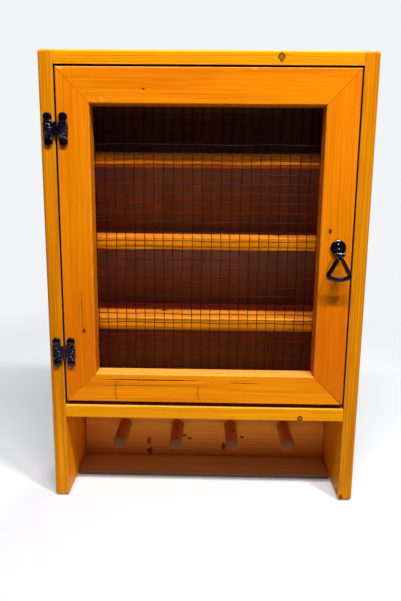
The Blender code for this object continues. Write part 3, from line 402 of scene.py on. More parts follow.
class Net:
    """A node tree with short calls that add a node and give back what it puts out."""

    def __init__(self, tree):
        self.tree = tree

    def feed(self, node, inputs):
        for key, value in inputs.items():
            if isinstance(value, bpy.types.NodeSocket):
                self.tree.links.new(value, node.inputs[key])
            else:
                node.inputs[key].default_value = value

    def add(self, kind, inputs=None, **settings):
        made = self.tree.nodes.new(kind)
        for key, value in settings.items():
            setattr(made, key, value)
        self.feed(made, inputs or {})
        return made

    def where(self, kind):
        return self.add("ShaderNodeTexCoord").outputs[kind]

    def math(self, operation, *values, clamp=False):
        inputs = dict(enumerate(values))
        return self.add("ShaderNodeMath", inputs, operation=operation, use_clamp=clamp).outputs[0]

    def times(self, first, second):
        return self.math("MULTIPLY", first, second)

    def ramp(self, value, slope, start):
        return self.math("MULTIPLY_ADD", value, slope, start)

    def most(self, first, second):
        return self.math("MAXIMUM", first, second)

    def vector(self, operation, *values):
        made = self.add("ShaderNodeVectorMath", dict(enumerate(values)), operation=operation)
        return made.outputs["Value" if operation == "LENGTH" else "Vector"]

    def split(self, vector):
        return self.add("ShaderNodeSeparateXYZ", {0: vector}).outputs

    def step(self, value, low, high, to_low=0.0, to_high=1.0):
        inputs = {"Value": value, "From Min": low, "From Max": high, "To Min": to_low, "To Max": to_high}
        return self.add("ShaderNodeMapRange", inputs, interpolation_type="SMOOTHSTEP").outputs["Result"]

    def noise(self, vector, stretch, detail=2.0, roughness=0.5):
        stretched = self.vector("MULTIPLY", vector, stretch)
        inputs = {"Vector": stretched, "Scale": 1.0, "Detail": detail, "Roughness": roughness}
        return self.add("ShaderNodeTexNoise", inputs).outputs["Fac"]

    def wander(self, vector, stretch):
        return self.math("SUBTRACT", self.noise(vector, stretch), 0.5)

    def mix(self, factor, first, second):
        inputs = {0: factor, 6: rgba(first), 7: rgba(second)}
        return self.add("ShaderNodeMix", inputs, data_type="RGBA").outputs[2]

    def group(self, name, inputs):
        return self.add("ShaderNodeGroup", inputs, node_tree=bpy.data.node_groups[name]).outputs


def group_net(name, inputs, outputs):
    """A new node group that takes a place: its net, what goes in and where its results go."""
    group = bpy.data.node_groups.new(name, "ShaderNodeTree")
    for label, value in {"Vector": ORIGIN, **inputs}.items():
        kind = "NodeSocketFloat" if isinstance(value, float) else "NodeSocketVector"
        group.interface.new_socket(label, in_out="INPUT", socket_type=kind).default_value = value
    for label in outputs:
        kind = "NodeSocketVector" if label == "Vector" else "NodeSocketFloat"
        group.interface.new_socket(label, in_out="OUTPUT", socket_type=kind)
    net = Net(group)
    return net, net.add("NodeGroupInput").outputs, net.add("NodeGroupOutput")


def make_pine_grain():
    """Rings of the log, cut by the board's faces, with fibres and uneven stain."""
    inputs = {"Ring Width": 0.003, "Sway": 0.01}
    net, given, result = group_net("pine_grain", inputs, ("Late", "Fibre", "Streak", "Blotch"))
    place = given["Vector"]
    radius = net.vector("LENGTH", net.vector("MULTIPLY", place, (1.0, 1.0, 0.0)))
    swayed = net.ramp(net.wander(place, (11.0, 11.0, 2.6)), given["Sway"], radius)
    swayed = net.ramp(net.wander(place, (90.0, 90.0, 5.0)), 0.0014, swayed)
    years = net.math("DIVIDE", swayed, given["Ring Width"])
    season = net.math("FRACT", years)
    growing = net.step(season, 0.25, 0.88)
    ending = net.step(season, 0.92, 1.0, 1.0, 0.0)
    year = net.add("ShaderNodeTexWhiteNoise", {"W": net.math("FLOOR", years)}, noise_dimensions="1D")
    vigour = net.ramp(year.outputs["Value"], 0.85, 0.15)
    shown = net.step(net.noise(place, (30.0, 30.0, 4.0)), 0.36, 0.62, 0.12, 1.0)
    net.feed(result, {
        "Late": net.times(net.times(growing, ending), net.times(vigour, shown)),
        "Fibre": net.step(net.noise(place, (1100.0, 1100.0, 26.0), 3.0, 0.6), 0.3, 0.7),
        "Streak": net.step(net.noise(place, (400.0, 400.0, 6.0), 3.0, 0.6), 0.32, 0.68),
        "Blotch": net.step(net.noise(place, (20.0, 20.0, 3.0), 3.0), 0.36, 0.66),
    })


def make_pine_knot():
    """A knot that pushes the rings aside."""
    inputs = {"Knot": 0.0, "Centre": ORIGIN, "Radius": 0.004, "Shape": (1.0, 0.0, 0.7), "Heart": 0.1}
    net, given, result = group_net("pine_knot", inputs, ("Vector", "Knot"))
    away = net.vector("SUBTRACT", given["Vector"], given["Centre"])
    reach = net.vector("LENGTH", net.vector("MULTIPLY", away, given["Shape"]))
    radii = net.math("DIVIDE", reach, given["Radius"])
    edge = net.ramp(net.wander(given["Vector"], (420.0, 420.0, 300.0)), 0.8, radii)
    core = net.step(edge, 0.80, 1.15, 1.0, 0.0)
    rim = net.step(edge, 0.30, 0.80, net.math("SUBTRACT", 1.0, given["Heart"]), 1.0)
    spread = net.times(net.times(radii, radii), -0.13)
    push = net.times(net.math("EXPONENT", spread), -0.8)
    aside = net.vector("MULTIPLY", away, net.add("ShaderNodeCombineXYZ", {"X": push}).outputs[0])
    net.feed(result, {
        "Vector": net.vector("ADD", given["Vector"], aside),
        "Knot": net.most(given["Knot"], net.times(core, rim)),
    })


def make_grain_check():
    """A dark split along the grain, thin at both ends."""
    inputs = {"Check": 0.0, "Centre": ORIGIN, "Half Length": 0.03, "Half Width": 0.0005}
    net, given, result = group_net("grain_check", inputs, ("Check",))
    away = net.split(net.vector("SUBTRACT", given["Vector"], given["Centre"]))
    waver = net.wander(given["Vector"], (0.0, 0.0, 40.0))
    breaks = net.step(net.noise(given["Vector"], (40.0, 0.0, 110.0), 1.0), 0.28, 0.48, 0.55, 1.0)
    across = net.math("ABSOLUTE", net.ramp(waver, 0.0014, away["X"]))
    along = net.math("DIVIDE", away["Z"], given["Half Length"])
    taper = net.math("SUBTRACT", 1.0, net.times(along, along), clamp=True)
    width = net.ramp(net.times(taper, breaks), given["Half Width"], 1e-6)
    line = net.step(net.math("DIVIDE", across, width), 0.45, 1.0, 1.0, 0.0)
    net.feed(result, {"Check": net.most(given["Check"], line)})


def make_grain_scar():
    """A thin bowed mark across the grain."""
    inputs = {"Scar": 0.0, "Centre": ORIGIN, "Half Length": 0.012, "Bow": 0.002}
    net, given, result = group_net("grain_scar", inputs, ("Scar",))
    away = net.split(net.vector("SUBTRACT", given["Vector"], given["Centre"]))
    along = net.math("DIVIDE", away["X"], given["Half Length"])
    curve = net.times(along, along)
    ragged = net.wander(given["Vector"], (300.0, 0.0, 300.0))
    bowed = net.ramp(curve, given["Bow"], away["Z"])
    across = net.math("ABSOLUTE", net.ramp(ragged, 0.0030, bowed))
    line = net.step(across, 0.0, 0.0030, 1.0, 0.0)
    taper = net.step(curve, 0.55, 1.0, 1.0, 0.0)
    net.feed(result, {"Scar": net.most(given["Scar"], net.times(line, taper))})


def make_edge_wear():
    """A mask along the edges of a board, broken up by noise."""
    inputs = {"Centre": ORIGIN, "Half": (0.1, 0.1, 0.1), "Width": 0.004}
    net, given, result = group_net("edge_wear", inputs, ("Wear",))
    inside = net.vector("ABSOLUTE", net.vector("SUBTRACT", given["Vector"], given["Centre"]))
    parts = net.split(net.vector("SUBTRACT", inside, given["Half"]))
    wider = net.most(parts["X"], parts["Y"])
    nearer = net.math("MINIMUM", parts["X"], parts["Y"])
    second = net.most(nearer, net.math("MINIMUM", wider, parts["Z"]))
    band = net.step(net.math("DIVIDE", second, given["Width"]), -1.0, -0.1)
    patches = net.step(net.noise(given["Vector"], (85.0, 85.0, 85.0), 3.0, 0.6), 0.36, 0.66)
    net.feed(result, {"Wear": net.times(band, patches)})


def make_cast_skin():
    """Lumps and pits of a cast or plated surface, large and small."""
    net, given, result = group_net("cast_skin", {"Coarse": 260.0, "Fine": 1500.0}, ("Lumps", "Pits"))
    lumps, pits = (
        net.add("ShaderNodeTexNoise", {"Vector": given["Vector"], "Scale": given[grade], "Detail": 2.0})
        for grade in ("Coarse", "Fine")
    )
    net.feed(result, {"Lumps": lumps.outputs["Fac"], "Pits": net.step(pits.outputs["Fac"], 0.3, 0.7)})


def empty_net(owner):
    """The emptied node tree of a material or a world."""
    owner.use_nodes = True
    owner.node_tree.nodes.clear()
    return Net(owner.node_tree)


def new_material(name):
    """An empty node material with its net and its shader."""
    material = bpy.data.materials.new(name)
    net = empty_net(material)
    shader = net.add("ShaderNodeBsdfPrincipled")
    net.add("ShaderNodeOutputMaterial", {"Surface": shader.outputs[0]})
    return material, net, shader


def raise_surface(net, shader, height, distance):
    """Gives the shader a bump of that height."""
    bump = net.add("ShaderNodeBump", {"Height": height, "Strength": 0.6, "Distance": distance})
    net.feed(shader, {"Normal": bump.outputs["Normal"]})


def painted_gap_shade(net, place, facing, cut):
    """Where painted shade darkens the mouth of the gap round the door and, on the sides, the corner of the
    rail.
    """
    axis, side, amount = cut.gap_shade
    into_gap = net.step(net.times(facing[axis], side), *LOOKS_INTO_GAP)
    spot = net.split(place)
    in_shade = net.times(net.step(spot["Y"], *GAP_DEPTHS), net.step(spot["Z"], *GAP_HEIGHTS, 0.0, amount))
    if cut.corner:
        rail_low, rail_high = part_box("peg_rail")
        behind = net.step(spot["Y"], rail_low.y - RAIL_SHADE, rail_low.y)
        beside = net.step(spot["Z"], rail_high.z + RAIL_SHADE, rail_high.z, 0.0, cut.corner)
        in_shade = net.most(in_shade, net.times(behind, beside))
    return net.times(into_gap, in_shade)


def pine_finish(name, low, high, cut):
    """Stained pine for one board, with the grain that its cut gives."""
    colours = bpy.context.scene.cabinet_colours
    material, net, shader = new_material(name)
    place = net.where("Object")
    along = AXES[cut.grain]
    through = AXES[cut.face]
    turn = Matrix((through.cross(along), through, along))
    middle = (low + high) / 2
    shift = Vector(cut.heart) - turn @ middle
    spot = {"Vector": place, "Location": shift, "Rotation": turn.to_euler()}
    vector = net.add("ShaderNodeMapping", spot).outputs[0]

    def add_mark(group, kind, mask, centre, form):
        """One more mark of a kind beside those in the mask."""
        found = {"Vector": vector, kind: mask, "Centre": turn @ Vector(centre) + shift}
        return net.group(group, {**found, **form})

    check = scar = chip = knot = 0.0
    for centre, half_length, half_width in cut.checks:
        form = {"Half Length": half_length, "Half Width": half_width}
        check = add_mark("grain_check", "Check", check, centre, form)["Check"]
    for centre, half_length, bow in cut.scars:
        scar = add_mark("grain_scar", "Scar", scar, centre, {"Half Length": half_length, "Bow": bow})["Scar"]
    for centre, radius in cut.chips:
        chip = add_mark("pine_knot", "Knot", chip, centre, {"Radius": radius, "Shape": CHIP_SHAPE})["Knot"]
    for kind, (shape, heart) in KNOT_SHAPES.items():
        for centre, radius in getattr(cut, kind):
            form = {"Radius": radius, "Shape": shape, "Heart": heart}
            out = add_mark("pine_knot", "Knot", knot, centre, form)
            vector, knot = out["Vector"], out["Knot"]

    grain = net.group("pine_grain", {"Vector": vector, "Ring Width": cut.ring, "Sway": cut.sway})
    wear_width = bpy.context.scene.cabinet_sizes.wear_width
    edges = {"Vector": place, "Centre": middle, "Half": (high - low) / 2, "Width": wear_width}
    facing = net.split(net.where("Normal"))
    up = net.step(facing["Z"], *LOOKS_UP)
    # Edge wear, weighted to the upper edges, is partly real wear and partly a painted highlight; upper faces
    # also get a painted highlight.
    edge_wear_and_highlight = net.times(net.group("edge_wear", edges)["Wear"], net.ramp(up, 0.8, 0.2))
    wear_and_top_highlight = net.times(net.most(edge_wear_and_highlight, net.times(up, 0.55)), cut.wear_and_top_highlight)
    tint = net.mix(net.times(grain["Late"], cut.late), colours.pine_light, colours.pine_dark)
    deep = net.times(grain["Blotch"], 0.6)
    shade = net.ramp(grain["Streak"], cut.streak, 0.92 - cut.streak / 2)
    shade = net.ramp(grain["Fibre"], 0.12, shade)
    # Painted shade on the narrow faces that look neither ahead, back nor up.
    if cut.edge < 1.0:
        aside = net.step(net.math("ABSOLUTE", facing["Y"]), *LOOKS_ASIDE, cut.edge, 1.0)
        shade = net.times(shade, net.most(aside, up))
    # Painted shade on the flat upper face, which also keeps less of the painted highlight.
    if cut.crown < 1.0:
        wear_and_top_highlight = net.times(wear_and_top_highlight, net.step(facing["Z"], *LOOKS_STRAIGHT_UP, 1.0, 0.25))
        shade = net.times(shade, net.step(facing["Z"], *LOOKS_STRAIGHT_UP, 1.0, cut.crown))
    # Painted shade on the face in front.
    if cut.end < 1.0:
        shade = net.times(shade, net.step(net.times(facing["Y"], -1.0), *LOOKS_AHEAD, 1.0, cut.end))
    # On the peg rail the fade is a painted shade towards the bottom.
    if cut.fade:
        start, end, amount, tone = cut.fade
        height = net.split(place)["Z"]
        deep = net.most(deep, net.step(height, start, end, 0.0, amount))
        shade = net.times(shade, net.step(height, start, end, 1.0, tone))
    tint = net.mix(deep, tint, colours.pine_deep)
    stain = {"Color": tint, "Hue": cut.hue, "Saturation": cut.strength, "Value": net.times(shade, cut.tone)}
    tint = net.add("ShaderNodeHueSaturation", stain).outputs[0]
    # The worn colour: real wear on the edges and a painted highlight on upper faces and edges.
    tint = net.mix(wear_and_top_highlight, tint, colours.pine_worn_and_highlight)
    # Painted shade in the mouth of the gap round the door and beside the peg rail.
    if cut.gap_shade:
        tint = net.mix(painted_gap_shade(net, place, facing, cut), tint, colours.pine_check_and_gap_shade)
    relief = net.ramp(grain["Late"], 0.55, net.times(grain["Fibre"], 0.45))
    for mask, amount, mark in (
        (scar, 0.45, colours.pine_scar), (chip, 0.6, colours.pine_worn_and_highlight), (knot, cut.dark, colours.pine_knot)
    ):
        if mask != 0.0:
            tint = net.mix(net.times(mask, amount), tint, mark)
    if check != 0.0:
        tint = net.mix(check, tint, colours.pine_check_and_gap_shade)
        relief = net.ramp(check, -2.5, relief)
    net.feed(shader, {
        "Base Color": tint,
        "Roughness": net.ramp(edge_wear_and_highlight, 0.10, net.ramp(grain["Fibre"], 0.10, 0.36)),
        "Specular IOR Level": cut.gloss,
        "Specular Tint": rgba(colours.gloss),
    })
    raise_surface(net, shader, relief, 0.00020)
    return material


def panel_finish():
    """Brown hardboard of the back panel."""
    colours = bpy.context.scene.cabinet_colours
    material, net, shader = new_material("brown_hardboard")
    place = net.where("Object")
    streaks = net.noise(place, (70.0, 70.0, 9.0), 3.0, 0.6)
    fibres = net.noise(place, (900.0, 900.0, 500.0))
    tint = net.mix(net.step(streaks, 0.32, 0.70), colours.panel_dark, colours.panel_light)
    shaded = {"Color": tint, "Value": net.ramp(fibres, 0.5, 0.75)}
    net.feed(shader, {
        "Base Color": net.add("ShaderNodeHueSaturation", shaded).outputs[0],
        "Roughness": net.ramp(fibres, 0.3, 0.45),
        "Specular IOR Level": 0.2,
    })
    raise_surface(net, shader, fibres, 0.00015)
    return material


def cast_finish(slot, base, worn, gloss=WHITE):
    """A cast, plated or moulded finish: two colours, uneven gloss and a grained skin."""
    metallic, specular, roughness, depth, coarse, fine = CAST_FINISHES[slot]
    material, net, shader = new_material("cabinet_" + slot)
    skin = net.group("cast_skin", {"Vector": net.where("Object"), "Coarse": coarse, "Fine": fine})
    patches = net.step(skin["Lumps"], 0.46, 0.70)
    net.feed(shader, {
        "Base Color": net.mix(net.times(patches, skin["Pits"]), base, worn),
        "Roughness": net.ramp(patches, 0.06, net.ramp(skin["Pits"], 0.06, roughness)),
        "Metallic": metallic,
        "Specular IOR Level": specular,
        "Specular Tint": rgba(gloss),
    })
    raise_surface(net, shader, net.ramp(skin["Lumps"], 1.6, net.times(skin["Pits"], 0.10)), depth)


def make_finishes():
    """The node groups, and the finishes that several pieces share."""
    for build in (
        make_pine_grain, make_pine_knot, make_grain_check, make_grain_scar, make_edge_wear, make_cast_skin
    ):
        build()
    colours = bpy.context.scene.cabinet_colours
    cast_finish("black_iron", colours.iron, colours.iron_worn, colours.iron_gloss)
    cast_finish("galvanised_wire", colours.wire, colours.wire_pale)
    cast_finish("zinc_steel", colours.steel, colours.steel_dull)
    cast_finish("catch_plastic", colours.plastic, colours.plastic_dark)


def form_of(node):
    """A merged copy of a CAD node's mesh."""
    form = bmesh.new()
    form.from_mesh(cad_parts[node].data)
    bmesh.ops.remove_doubles(form, verts=form.verts, dist=MERGE)
    return form


def add_piece(name, form, body, slot, *nodes, material=None):
    """Turns a form into a finished piece that rides on a body and stands for its nodes."""
    mesh = bpy.data.meshes.new(name)
    form.to_mesh(mesh)
    form.free()
    if "custom_normal" in mesh.attributes:
        mesh.attributes.remove(mesh.attributes["custom_normal"])
    mesh.shade_smooth()
    mesh.set_sharp_from_angle(angle=SHARP_ANGLE)
    mesh.materials.clear()
    mesh.materials.append(material or bpy.data.materials["cabinet_" + slot])
    piece = bpy.data.objects.new(name, mesh)
    bpy.context.scene.collection.objects.link(piece)
    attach(piece, body)
    if nodes:
        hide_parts(*nodes)
    return piece


def add_steel(node, body):
    """A small plated fitting in the form that the solids give it."""
    add_piece(node + "_steel", form_of(node), body, "zinc_steel", node)


def draw_back(form, near, far, shift):
    """Moves a board's end along the grain, from nothing at one corner to all at the other, as drying does."""
    start = Vector((near[0], 0.0, near[1]))
    run = Vector((far[0], 0.0, far[1])) - start
    for vert in form.verts:
        away = Vector((vert.co.x, 0.0, vert.co.z)) - start
        along = away.dot(run) / run.length_squared
        if (away - run * along).length < 2 * abs(shift):
            vert.co.x += shift * max(along, 0.0)


def add_board(node, body):
    """One board of the case or the door, in its own cut of pine. Its flat faces stay flat in the light."""
    cut = BOARD_CUTS[node]
    low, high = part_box(node)
    material = pine_finish("pine_" + node, low, high, cut)
    form = form_of(node)
    if cut.drawn:
        draw_back(form, *cut.drawn)
    piece = add_piece(node + "_pine", form, body, cut.slot, node, material=material)
    piece.modifiers.new("even_faces", "WEIGHTED_NORMAL").keep_sharp = True


def turned_form(profile, steps):
    """A form turned about Z from (radius, height) points, closed on the axis."""
    form = bmesh.new()
    corners = [form.verts.new((radius, 0.0, height)) for radius, height in profile]
    edges = [form.edges.new(pair) for pair in zip(corners, corners[1:])]
    bmesh.ops.spin(
        form, geom=corners + edges, cent=ORIGIN, axis=(0, 0, 1), angle=math.tau, steps=steps, use_merge=True
    )
    bmesh.ops.remove_doubles(form, verts=form.verts, dist=MERGE)
    bmesh.ops.recalc_face_normals(form, faces=form.faces)
    return form


def edges_at(made):
    """All edges at the corners that a bmesh call has made."""
    return {edge for vert in made["verts"] for edge in vert.link_edges}


def soften(form, edges, offset):
    """Rounds edges of a form."""
    bmesh.ops.bevel(
        form, geom=list(edges), offset=offset, affect="EDGES", segments=2, profile=0.5, material=-1
    )


def box_in(form, low, high, bevel):
    """Adds a box with softened edges to a form."""
    size = Matrix.Diagonal((*(high - low), 1.0))
    made = bmesh.ops.create_cube(form, size=1.0, matrix=Matrix.Translation((low + high) / 2) @ size)
    soften(form, edges_at(made), bevel)


def rod_in(form, sides, ends, depth, matrix):
    """Adds a closed rod to a form, with a radius at each end."""
    return bmesh.ops.create_cone(
        form, cap_ends=True, segments=sides, radius1=ends[0], radius2=ends[1], depth=depth, matrix=matrix
    )


def add_bead(form, spot, halves, turn_deg=0.0):
    """Adds a smooth bead of that half size to a form, turned about Y."""
    turn = Matrix.Rotation(math.radians(turn_deg), 4, "Y")
    place = Matrix.Translation(spot) @ turn @ Matrix.Diagonal((*halves, 1.0))
    bmesh.ops.create_uvsphere(form, u_segments=24, v_segments=12, radius=1.0, matrix=place)


def add_casting(node, form, body, sizes):
    """A black casting, all its parts run into one skin with soft edges."""
    piece = add_piece(node + "_casting", form, body, "black_iron", node)
    skin = piece.modifiers.new("one_skin", "REMESH")
    skin.mode = "VOXEL"
    skin.voxel_size = sizes.cast_detail
    skin.use_smooth_shade = True
    soft = piece.modifiers.new("soft_edges", "SMOOTH")
    soft.factor = 0.5
    soft.iterations = 2


def slice_form(form, spot, normal, **kept):
    """Cuts a form through by a plane."""
    everything = form.verts[:] + form.edges[:] + form.faces[:]
    bmesh.ops.bisect_plane(form, geom=everything, plane_co=spot, plane_no=normal, **kept)


def screw_form(node, slot_half, slot_turn):
    """A round-headed screw with a slot, driven in from the front, where a CAD screw stands."""
    low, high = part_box(node)
    radius = (high.x - low.x) / 2
    rise = radius * SCREW_RISE
    form = bmesh.new()
    bmesh.ops.create_uvsphere(form, u_segments=24, v_segments=12, radius=radius)
    bmesh.ops.scale(form, vec=(1.0, 1.0, rise / radius), verts=form.verts)
    slice_form(form, ORIGIN, (0, 0, 1), clear_inner=True)
    for side in (-1.0, 1.0):
        slice_form(form, (side * slot_half, 0, 0), (1, 0, 0))
    strip = [face for face in form.faces if abs(face.calc_center_median().x) < slot_half]
    grown = bmesh.ops.extrude_face_region(form, geom=strip)["geom"]
    sunk = [vert for vert in grown if isinstance(vert, bmesh.types.BMVert)]
    bmesh.ops.translate(form, vec=(0, 0, -SCREW_SLOT_DEPTH * rise), verts=sunk)
    length_in = (high.y - low.y) - rise
    ends = [radius * part for part in SCREW_SHANK]
    rod_in(form, 16, ends, length_in, Matrix.Translation((0, 0, -length_in / 2)))
    seat = Vector(((low.x + high.x) / 2, low.y + rise, (low.z + high.z) / 2))
    turn = Matrix.Rotation(slot_turn, 4, "Z")
    bmesh.ops.transform(form, matrix=Matrix.Translation(seat) @ TO_FRONT @ turn, verts=form.verts)
    return form


class CABINET_OT_case_boards(bpy.types.Operator):
    """Sides, top, floor, shelves, peg rail and ledge of the case"""

    bl_idname = "cabinet.case_boards"
    bl_label = "Case Boards"

    def execute(self, context):
        for node in BOARD_CUTS:
            if node not in DOOR_LATHS:
                add_board(node, "case")
        return {"FINISHED"}


class CABINET_OT_back_panel(bpy.types.Operator):
    """Brown panel let into the rear of the case"""

    bl_idname = "cabinet.back_panel"
    bl_label = "Back Panel"

    def execute(self, context):
        form = form_of("back_panel")
        add_piece("back_panel_hardboard", form, "case", "brown_panel", "back_panel", material=panel_finish())
        return {"FINISHED"}


class CABINET_OT_pegs(bpy.types.Operator):
    """Four dowel pegs with rounded tips"""

    bl_idname = "cabinet.pegs"
    bl_label = "Pegs"

    def execute(self, context):
        rounding = context.scene.cabinet_sizes.peg_round
        turns = [math.radians(90.0 * step / PEG_TIP_STEPS) for step in range(PEG_TIP_STEPS + 1)]
        for count in range(1, 5):
            node = f"peg_{count}"
            low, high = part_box(node)
            radius = (high.x - low.x) / 2
            reach = high.y - low.y
            curve = [
                (radius - rounding + rounding * math.cos(turn), reach - rounding + rounding * math.sin(turn))
                for turn in turns
            ]
            form = turned_form([(0.0, 0.0), (radius, 0.0), *curve, (0.0, reach)], PEG_SIDES)
            seat = Vector(((low.x + high.x) / 2, high.y, (low.z + high.z) / 2))
            bmesh.ops.transform(form, matrix=Matrix.Translation(seat) @ TO_FRONT, verts=form.verts)
            pips = [
                ((low.x + across, low.y + along, high.z - down), pip)
                for across, along, down, pip in PEG_PIPS.get(count, ())
            ]
            heart = tuple(start + step * count for start, step in PEG_HEARTS)
            cut = PEG_CUT._replace(heart=heart, pips=pips)
            material = pine_finish("dowel_" + node, low, high, cut)
            add_piece(node + "_dowel", form, "case", cut.slot, node, material=material)
        return {"FINISHED"}


class CABINET_OT_door_frame(bpy.types.Operator):
    """Mitred stiles and rails of the door"""

    bl_idname = "cabinet.door_frame"
    bl_label = "Door Frame"

    def execute(self, context):
        for node in DOOR_LATHS:
            add_board(node, "door")
        return {"FINISHED"}


class CABINET_OT_wire_mesh(bpy.types.Operator):
    """Welded wire sheet behind the door's window, with its staples"""

    bl_idname = "cabinet.wire_mesh"
    bl_label = "Wire Mesh"

    def execute(self, context):
        sizes = context.scene.cabinet_sizes
        low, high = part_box("wire_mesh")
        radius = sizes.wire_radius
        middle = (low + high) / 2
        form = bmesh.new()
        uprights = self.spots(sizes.first_upright, sizes.mesh_pitch_across, low.x + radius, high.x - radius)
        levels = self.spots(sizes.first_level, sizes.mesh_pitch_up, low.z + radius, high.z - radius)
        for x in uprights:
            self.lay_wire(form, radius, high.z - low.z, Matrix.Translation((x, high.y - radius, middle.z)))
        lying = Matrix.Rotation(math.radians(90.0), 4, "Y")
        for z in levels:
            spot = Matrix.Translation((middle.x, high.y - LEVEL_WIRES_IN * radius, z))
            self.lay_wire(form, radius, high.x - low.x, spot @ lying)
        for vert in form.verts:
            x, _, z = vert.co
            vert.co.x += sizes.wire_sway * self.wave(z, x, WAVES_ACROSS)
            vert.co.z += sizes.wire_sway * self.wave(x, z, WAVES_UP)
        add_piece("wire_sheet", form, "door", "galvanised_wire", "wire_mesh")
        self.add_staples(sizes, uprights, levels)
        return {"FINISHED"}

    def spots(self, first, pitch, low, high):
        """Places at the pitch through the first one, between two ends."""
        start = math.ceil((low - first) / pitch)
        end = math.floor((high - first) / pitch)
        return [first + pitch * count for count in range(start, end + 1)]

    def lay_wire(self, form, radius, reach, matrix):
        """One wire with enough rings to bend."""
        made = rod_in(form, 6, (radius, radius), reach, matrix)
        lengthwise = [edge for edge in edges_at(made) if edge.calc_length() > reach / 2]
        bmesh.ops.subdivide_edges(form, edges=lengthwise, cuts=WIRE_BENDS)

    def wave(self, along, across, waves):
        """How far a wire wanders at a place, as a share of the sway."""
        return sum(math.sin(turn * along + lag * across) * part for turn, lag, part in waves)

    def add_staples(self, sizes, uprights, levels):
        """Staples over the outer wires, round the rear of the frame."""
        sheet_low, sheet_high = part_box("wire_mesh")
        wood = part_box("door_rail_top")[1].y
        form = bmesh.new()
        half = sizes.staple_width / 2
        thick = sizes.staple_wire
        crown = sheet_high.y + thick
        step_up = max(1, round(sizes.staple_spacing / sizes.mesh_pitch_up))
        step_across = max(1, round(sizes.staple_spacing / sizes.mesh_pitch_across))
        inset = half + thick
        for x in (sheet_low.x + inset, sheet_high.x - inset):
            for z in levels[FIRST_STAPLE::step_up]:
                spot = Vector((x, 0.0, z + sizes.mesh_pitch_up / 2))
                self.drive_staple(form, spot, Vector((half, 0.0, 0.0)), thick, crown, wood)
        for z in (sheet_low.z + inset, sheet_high.z - inset):
            for x in uprights[FIRST_STAPLE::step_across]:
                spot = Vector((x + sizes.mesh_pitch_across / 2, 0.0, z))
                self.drive_staple(form, spot, Vector((0.0, 0.0, half)), thick, crown, wood)
        add_piece("mesh_staples", form, "door", "zinc_steel")

    def drive_staple(self, form, spot, half, thick, crown, wood):
        """One staple: a crown and two legs that go into the wood."""
        side = Vector((thick / 2, 0.0, thick / 2))
        reach = Vector((max(half.x, side.x), 0.0, max(half.z, side.z)))
        self.add_bar(form, spot, reach, crown - thick, crown, thick * 0.3)
        for end in (-1.0, 1.0):
            foot = spot + half * end * (1.0 - thick / 2 / half.length)
            self.add_bar(form, foot, side, wood - STAPLE_LEG, crown - thick * 0.2, thick * 0.2)

    def add_bar(self, form, spot, reach, near, far, bevel):
        """One bar of a staple, as deep as from near to far."""
        low = spot - reach
        high = spot + reach
        low.y = near
        high.y = far
        box_in(form, low, high, bevel)


class CABINET_OT_hinges(bpy.types.Operator):
    """Butterfly hinges: leaves, pins and slotted screws"""

    bl_idname = "cabinet.hinges"
    bl_label = "Hinges"

    def execute(self, context):
        sizes = context.scene.cabinet_sizes
        turn = FIRST_SLOT_TURN
        for hinge in HINGES:
            pin = hinge + "_pin"
            rod = form_of(pin)
            centre = Matrix.Translation(sum(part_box(pin), Vector()) / 2)
            short = Matrix.Diagonal((1.0, 1.0, sizes.pin_share, 1.0))
            bmesh.ops.transform(rod, matrix=centre @ short @ centre.inverted(), verts=rod.verts)
            add_piece(pin + "_rod", rod, "case", "black_iron", pin)
            for leaf, (body, hand) in LEAVES.items():
                node = f"{hinge}_{leaf}"
                add_casting(node, self.leaf_form(node, pin, hand, sizes), body, sizes)
                for level in ("upper", "lower"):
                    screw = f"{node}_screw_{level}"
                    turn += NEXT_SLOT_TURN
                    form = screw_form(screw, sizes.screw_slot, turn)
                    add_piece(screw + "_head", form, body, "black_iron", screw)
        return {"FINISHED"}

    def leaf_form(self, node, pin, hand, sizes):
        """A hinge leaf with deeper notches and the beads cast on its face."""
        form = form_of(node)
        pin_low, pin_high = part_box(pin)
        middle = (pin_low + pin_high) / 2
        middle.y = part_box(node)[1].y - sizes.leaf_thick
        for vert in form.verts:
            away = vert.co - middle
            flip = math.copysign(1.0, away.z)
            if math.dist((hand * away.x, flip * away.z), LEAF_NOTCH) < NOTCH_REACH:
                vert.co += Vector((hand * NOTCH_SINK[0], 0.0, flip * NOTCH_SINK[1]))
        for out, up, half_length, half_width, turn_deg in LEAF_BEADS:
            for flip in (1.0, -1.0):
                spot = middle + Vector((hand * out, 0.0, flip * up))
                add_bead(form, spot, (half_length, sizes.bead_rise, half_width), -turn_deg * hand * flip)
        return form


class CABINET_OT_drop_pull(bpy.types.Operator):
    """Drop pull: rosette, cross pin, swinging bail and bolt"""

    bl_idname = "cabinet.drop_pull"
    bl_label = "Drop Pull"

    def execute(self, context):
        sizes = context.scene.cabinet_sizes
        rosette = form_of("pull_rosette")
        low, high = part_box("pull_rosette")
        radius = (high.x - low.x) / 2
        centre = Vector((low.x + radius, high.y, high.z - radius))
        add_bead(rosette, centre - WEB_SPOT * radius, WEB_HALVES * radius)
        add_casting("pull_rosette", rosette, "door", sizes)
        bail = form_of("pull_bail")
        low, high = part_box("pull_bail")
        bail.normal_update()
        for vert in bail.verts:
            down = (high.z - vert.co.z) / (high.z - low.z)
            vert.co += vert.normal * sizes.bail_swell * min(max(SWELL_RATE * (down - SWELL_FROM), 0.0), 1.0)
        add_casting("pull_bail", bail, "bail", sizes)
        add_piece("pull_pin_rod", form_of("pull_pin"), "door", "black_iron", "pull_pin")
        add_steel("pull_bolt", "door")
        return {"FINISHED"}


